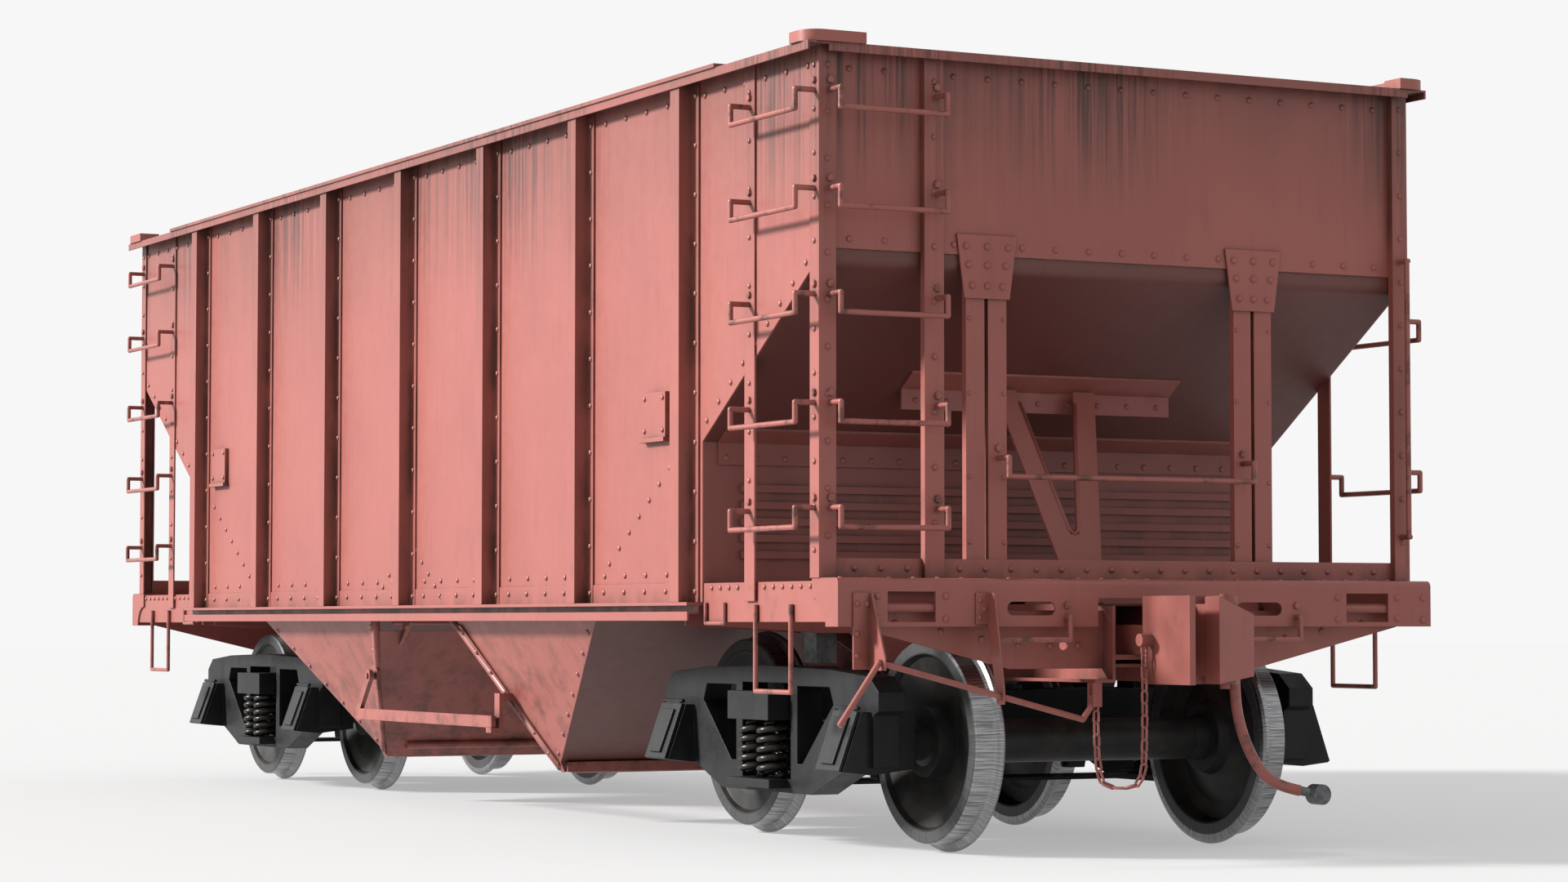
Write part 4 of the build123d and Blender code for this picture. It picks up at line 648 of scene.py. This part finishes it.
# Gussets and uprights, corner posts
for hand in (-1, 1):
    for z, half in ((2.610, 0.105), (2.530, 0.092), (2.440, 0.075)):
        for y in (-half, 0, half):
            end.dome((END_SHEET_X + 0.010, hand * UPRIGHT_Y + y, z), (1, 0, 0), RIVET * 1.1, HEAD)
    for z in (2.30, 1.98, 1.62, 1.34):
        for y in (-0.085, 0.085):
            end.dome((END_SHEET_X, hand * UPRIGHT_Y + y, z), (1, 0, 0), RIVET * 0.7, HEAD * 0.7)
    for z in spread(1.36, 3.34, 11):
        end.dome((END_POST_X, hand * 1.482, z), (1, 0, 0), RIVET * 0.9, HEAD)
for z in spread(1.42, 3.30, 9):
    end.dome((END_POST_X, -STILE_Y, z), (1, 0, 0), RIVET * 0.9, HEAD)
# Band over the end sill, bulkhead and the angle under the slope sheet
for y in spread(-1.34, 1.34, 22):
    end.dome((END_SHEET_X + 0.008, y, 1.226), (1, 0, 0), RIVET, HEAD)
for y in spread(-1.40, 1.40, 20):
    end.dome((BULKHEAD_X, y, 1.731), (1, 0, 0), RIVET, HEAD)
for y in spread(-0.64, 0.64, 9):
    end.dome((3.890, y, slope_z(3.88) - 0.052), (1, 0, 0), RIVET * 0.9, HEAD)
# End sill: beside the roping windows, along its top, on the cross plate, at the step irons
SILL_RIVETS = (
    (1.330, 1.108),
    (1.330, 1.015),
    (1.005, 1.108),
    (1.005, 1.012),
    (1.473, 1.108),
    (1.473, 1.010),
)
for y, z in SILL_RIVETS:
    for hand in (-1, 1):
        if hand * y > -1.4:
            end.dome((END_SILL_X, hand * y, z), (1, 0, 0), RIVET * 1.1, HEAD)
for y in spread(-1.46, 1.46, 26):
    end.dome((4.700, y, 1.184), (0, 0, 1), RIVET * 0.8, HEAD * 0.8)
for y in (0.30, 0.44, 0.60, 0.78, 0.98, 1.20):
    z = 0.90 + max(0.0, y - 0.6) * 0.16
    for hand in (-1, 1):
        end.dome((CROSS_PLATE_X, hand * y, z), (1, 0, 0), RIVET, HEAD)
for y, z in ((-1.432, 1.075), (-1.384, 1.075), (-1.432, 0.86), (-1.432, 0.95)):
    end.dome((STEP_IRON_X, y, z), (1, 0, 0), RIVET * 0.9, HEAD)
for y, z in ((-0.845, 1.09), (-0.845, 1.02), (-0.822, 1.055)):
    end.dome((STEP_IRON_X, y, z), (1, 0, 0), RIVET * 0.8, HEAD)
two_ends(end).make("rivets_ends", end_paint, "car_body", "body_red")

# Hopper bays: rivets along the outer plate's edges and seams
BAY_TOP_Z = 1.073
BAY_LIP_Z = 0.250
BAY_TOP_Y = 1.506
BAY_LIP_Y = 1.155
DOOR_TOP_X = 0.508
DOOR_FOOT_X = 1.200
BAY_PLATE = 0.008
BAY_FLANGE = 0.018
TAPER = (BAY_TOP_Y - BAY_LIP_Y) / (BAY_TOP_Z - BAY_LIP_Z)
bay_normal = Vector((0, 1, -TAPER)).normalized()


def bay_point(x, z, lift):
    """Point on the bay's slanting side plate, lifted off it."""
    return Vector((x, BAY_TOP_Y - (BAY_TOP_Z - z) * TAPER, z)) + bay_normal * lift


bay = Builder()
for z in spread(0.345, 0.955, 7):
    line_x = DOOR_TOP_X + (BAY_TOP_Z - z) * (DOOR_FOOT_X - DOOR_TOP_X) / (BAY_TOP_Z - BAY_LIP_Z)
    bay.dome(bay_point(line_x + 0.036, z, BAY_FLANGE), bay_normal, RIVET, HEAD)
    out_x = SLOPE_FOOT_X + (z - SLOPE_FOOT_Z) / SLOPE
    bay.dome(bay_point(out_x - 0.055, z, BAY_PLATE), bay_normal, RIVET, HEAD)
for x in spread(0.70, 2.20, 11):
    bay.dome(bay_point(x, 1.035, BAY_PLATE), bay_normal, RIVET, HEAD)
four_ways(bay).make("rivets_bays", hopper_paint, "car_body", "body_red")

# Rolled edges: down each slanting plate edge and along the foot of the bay
ROLL = 0.024
rolled = Builder()
rolled.tube(
    [
        bay_point(0.522, 1.060, 0.004),
        bay_point(1.150, 0.342, 0.004),
        bay_point(1.195, 0.296, 0.002),
        Vector((1.222, 1.140, 0.272)),
        Vector((1.232, 1.090, 0.266)),
        Vector((1.232, 0.0, 0.266)),
    ],
    ROLL,
    12,
)
four_ways(rolled).make("rolled_edges", hopper_paint, "car_body", "body_red")

# Rolled inner edge of the V brace, round at the crotch, as (y, distance up the brace)
BRACE_ROLL = 0.011
BRACE_FOOT = Vector((4.310, 0.0, 1.0800))
BRACE_HEAD = Vector((3.9400, 0.0, slope_z(3.9400) - 0.040))
brace_along = (BRACE_HEAD - BRACE_FOOT).normalized()
brace_length = (BRACE_HEAD - BRACE_FOOT).length
edge = [(-0.146, brace_length - 0.06), (-0.034, 0.40), (-0.024, 0.35), (0.0, 0.33)]
edge += [(-y, t) for y, t in reversed(edge[:-1])]
brace = Builder()
brace.tube(
    [BRACE_FOOT + brace_along * t + Vector((0.006, y, 0.004)) for y, t in edge],
    BRACE_ROLL,
    10,
)
two_ends(brace).make("brace_edges", frame_paint, "car_body", "body_red")

# Bolts that hold the grab irons
bolts = Builder()
RUNGS = (3.277, 2.862, 2.417, 1.960, 1.520)
BOLT = 0.017
BOLT_HEAD = 0.012
for z in RUNGS:
    for y in (-1.468, -0.953):
        bolts.bolt((END_POST_X, y, z), (1, 0, 0), BOLT, BOLT_HEAD)
for y in (-0.632, 0.632):
    bolts.bolt((END_SHEET_X, y, 1.746), (1, 0, 0), BOLT, BOLT_HEAD)
for hand in (-1, 1):
    for y in (0.410, 0.782):
        bolts.bolt((END_SILL_X, hand * y, 1.071), (1, 0, 0), 0.016, BOLT_HEAD)
end_bolts = two_ends(bolts)
side_bolts = Builder()
LADDERS = ((1, -1, RUNGS), (-1, -1, RUNGS), (-1, 1, RUNGS), (1, 1, (2.417, 1.725)))
for end_hand, side_hand, heights in LADDERS:
    for z in heights:
        for x in (4.593, STILE_X):
            place = (end_hand * x, side_hand * FLANGE_Y, z)
            side_bolts.bolt(place, (0, side_hand, 0), BOLT, BOLT_HEAD)
end_bolts.join(side_bolts)
end_bolts.make("grab_bolts", bar_paint, "car_body", "body_red", smooth=False)

# Inspection cover studs
covers = Builder()
for x in (2.960, 3.150):
    for z in (1.870, 2.018):
        covers.dome((x, 1.536, z), (0, 1, 0), 0.013, 0.009)
four_ways(covers).make("cover_studs", post_paint, "car_body", "body_red")

# --- bolster springs: coils in place of the plain sleeves ------------------------
TRUCK_X = 3.383
SPRING_SEAT_Z = 0.300
SPRING_HEIGHT = 0.263
SPRING_X = (-0.090, 0.090)
SPRING_Y = (-1.140, -0.984, 0.984, 1.140)
COILS = ((0.0605, 0.0150, 5.5), (0.031, 0.009, 8.0))  # radius, wire radius, turns
STEPS_PER_TURN = 18


def coil_line(x, y, radius, wire, turns):
    """Centre line of one coil, from its seat to its cap."""
    steps = int(turns * STEPS_PER_TURN)
    path = []
    for index in range(steps + 1):
        share = index / steps
        turn = share * turns * math.tau
        z = SPRING_SEAT_Z + wire + (SPRING_HEIGHT - 2 * wire) * share
        path.append((x + radius * math.cos(turn), y + radius * math.sin(turn), z))
    return path


coils = Builder()
for u in SPRING_X:
    for y in SPRING_Y:
        for radius, wire, turns in COILS:
            coils.tube(coil_line(TRUCK_X + u, y, radius, wire, turns), wire, 8)
for end_name, turned in (("a", False), ("b", True)):
    springs = coils.copy(turned).make(
        "coil_springs_" + end_name, spring_black, "truck_" + end_name, "spring_black"
    )
    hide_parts("spring_nests_" + end_name)

# --- uncoupling chains: oval links ----------------------------------------------
LX = 4.900
CHAIN = [
    (LX, -0.334, 0.650),
    (LX + 0.012, -0.334, 0.420),
    (LX + 0.040, -0.322, 0.322),
    (LX + 0.110, -0.262, 0.300),
    (LX + 0.180, -0.226, 0.345),
    (LX + 0.208, -0.226, 0.500),
    (LX + 0.209, -0.226, 0.890),
]


def smooth_line(points, parts=12):
    """Curve through the points, cut into short straight parts."""
    points = [Vector(p) for p in points]
    line = []
    for index in range(len(points) - 1):
        p0 = points[max(index - 1, 0)]
        p1, p2 = points[index], points[index + 1]
        p3 = points[min(index + 2, len(points) - 1)]
        for step in range(parts):
            t = step / parts
            line.append(
                0.5
                * (
                    (2 * p1)
                    + (p2 - p0) * t
                    + (2 * p0 - 5 * p1 + 4 * p2 - p3) * t * t
                    + (3 * p1 - p0 - 3 * p2 + p3) * t * t * t
                )
            )
    line.append(points[-1])
    return line


def at_length(line, distance):
    """Place on the line at this distance along it, and the line's direction there."""
    for a, b in zip(line, line[1:]):
        run = (b - a).length
        if distance <= run:
            return a + (b - a) * (distance / run), (b - a).normalized()
        distance -= run
    return line[-1], (line[-1] - line[-2]).normalized()


def link(builder, centre, along, flat, length, width, wire):
    """One oval link that lies in the plane of along and flat."""
    across = (flat - along * flat.dot(along)).normalized()
    half = (length - width) / 2
    path = []
    for index in range(20):
        turn = math.tau * index / 20
        x = math.cos(turn) * (width / 2 - wire)
        y = math.sin(turn) * (width / 2 - wire)
        y += half if math.sin(turn) >= 0 else -half
        path.append(centre + across * x + along * y)
    builder.tube(path, wire, 8, closed=True)


line = smooth_line(CHAIN)
total = sum((b - a).length for a, b in zip(line, line[1:]))
PITCH = 0.050
LINK = (0.066, 0.036, 0.0058)  # length, width, wire radius
count = int(total / PITCH)
strands = [Builder(), Builder()]
for index in range(count + 1):
    place, along = at_length(line, index * total / count)
    flat = Vector((0, 1, 0)) if index % 2 else Vector((1, 0.2, 0))
    if abs(along.dot(flat)) > 0.9:
        flat = Vector((0, 0, 1))
    half = 0 if index * 2 < count else 1
    link(strands[half], place, along, flat, *LINK)
for end_name, turned in (("a", False), ("b", True)):
    left = strands[0].copy(turned).make("chain_lever_" + end_name, bar_paint, None, "body_red")
    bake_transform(left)
    right = strands[1].copy(turned).make("chain_head_" + end_name, bar_paint, None, "body_red")
    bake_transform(right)
    if end_name == "a":
        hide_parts("uncoupling_chains")

# --- stage ----------------------------------------------------------------------
def pale(name, colour, rough, glow):
    """Pale floor lit a little from beneath, so that shadows on it stay light."""
    g = Graph(name)
    g.shader.inputs["Emission Color"].default_value = (1.0, 1.0, 1.0, 1.0)
    g.shader.inputs["Emission Strength"].default_value = glow
    return g.finish((*colour, 1.0), rough, specular=0.0)


FLOOR = 120.0
FLOOR_TONE = (0.235, 0.235, 0.235)
FLOOR_GLOW = 0.408
BACKGROUND = (0.93, 0.93, 0.93, 1.0)
KEY_FROM = (-10, -18, 10)
KEY_STRENGTH = 9.0
KEY_ANGLE = 0.16

floor_mesh = bpy.data.meshes.new("floor")
corners = [(-FLOOR, -FLOOR, 0), (FLOOR, -FLOOR, 0), (FLOOR, FLOOR, 0), (-FLOOR, FLOOR, 0)]
floor_mesh.from_pydata(corners, [], [(0, 1, 2, 3)])
floor = bpy.data.objects.new("floor", floor_mesh)
scene.collection.objects.link(floor)
floor_mesh.materials.append(pale("floor_pale", FLOOR_TONE, 0.9, FLOOR_GLOW))

world = bpy.data.worlds.new("studio")
scene.world = world
world.use_nodes = True
back = world.node_tree.nodes["Background"]
back.inputs[0].default_value = BACKGROUND
back.inputs[1].default_value = 1.0


def sun(name, place, strength, angle, colour):
    """Broad studio light that shines from the given direction onto the middle of the stage."""
    data = bpy.data.lights.new(name, "SUN")
    data.energy = strength
    data.angle = angle
    data.color = colour
    lamp = bpy.data.objects.new(name, data)
    lamp.location = place
    lamp.rotation_euler = Vector(place).to_track_quat("Z", "Y").to_euler()
    scene.collection.objects.link(lamp)


sun("key", KEY_FROM, KEY_STRENGTH, KEY_ANGLE, (1.0, 0.99, 0.98))
scene.view_settings.view_transform = "Standard"
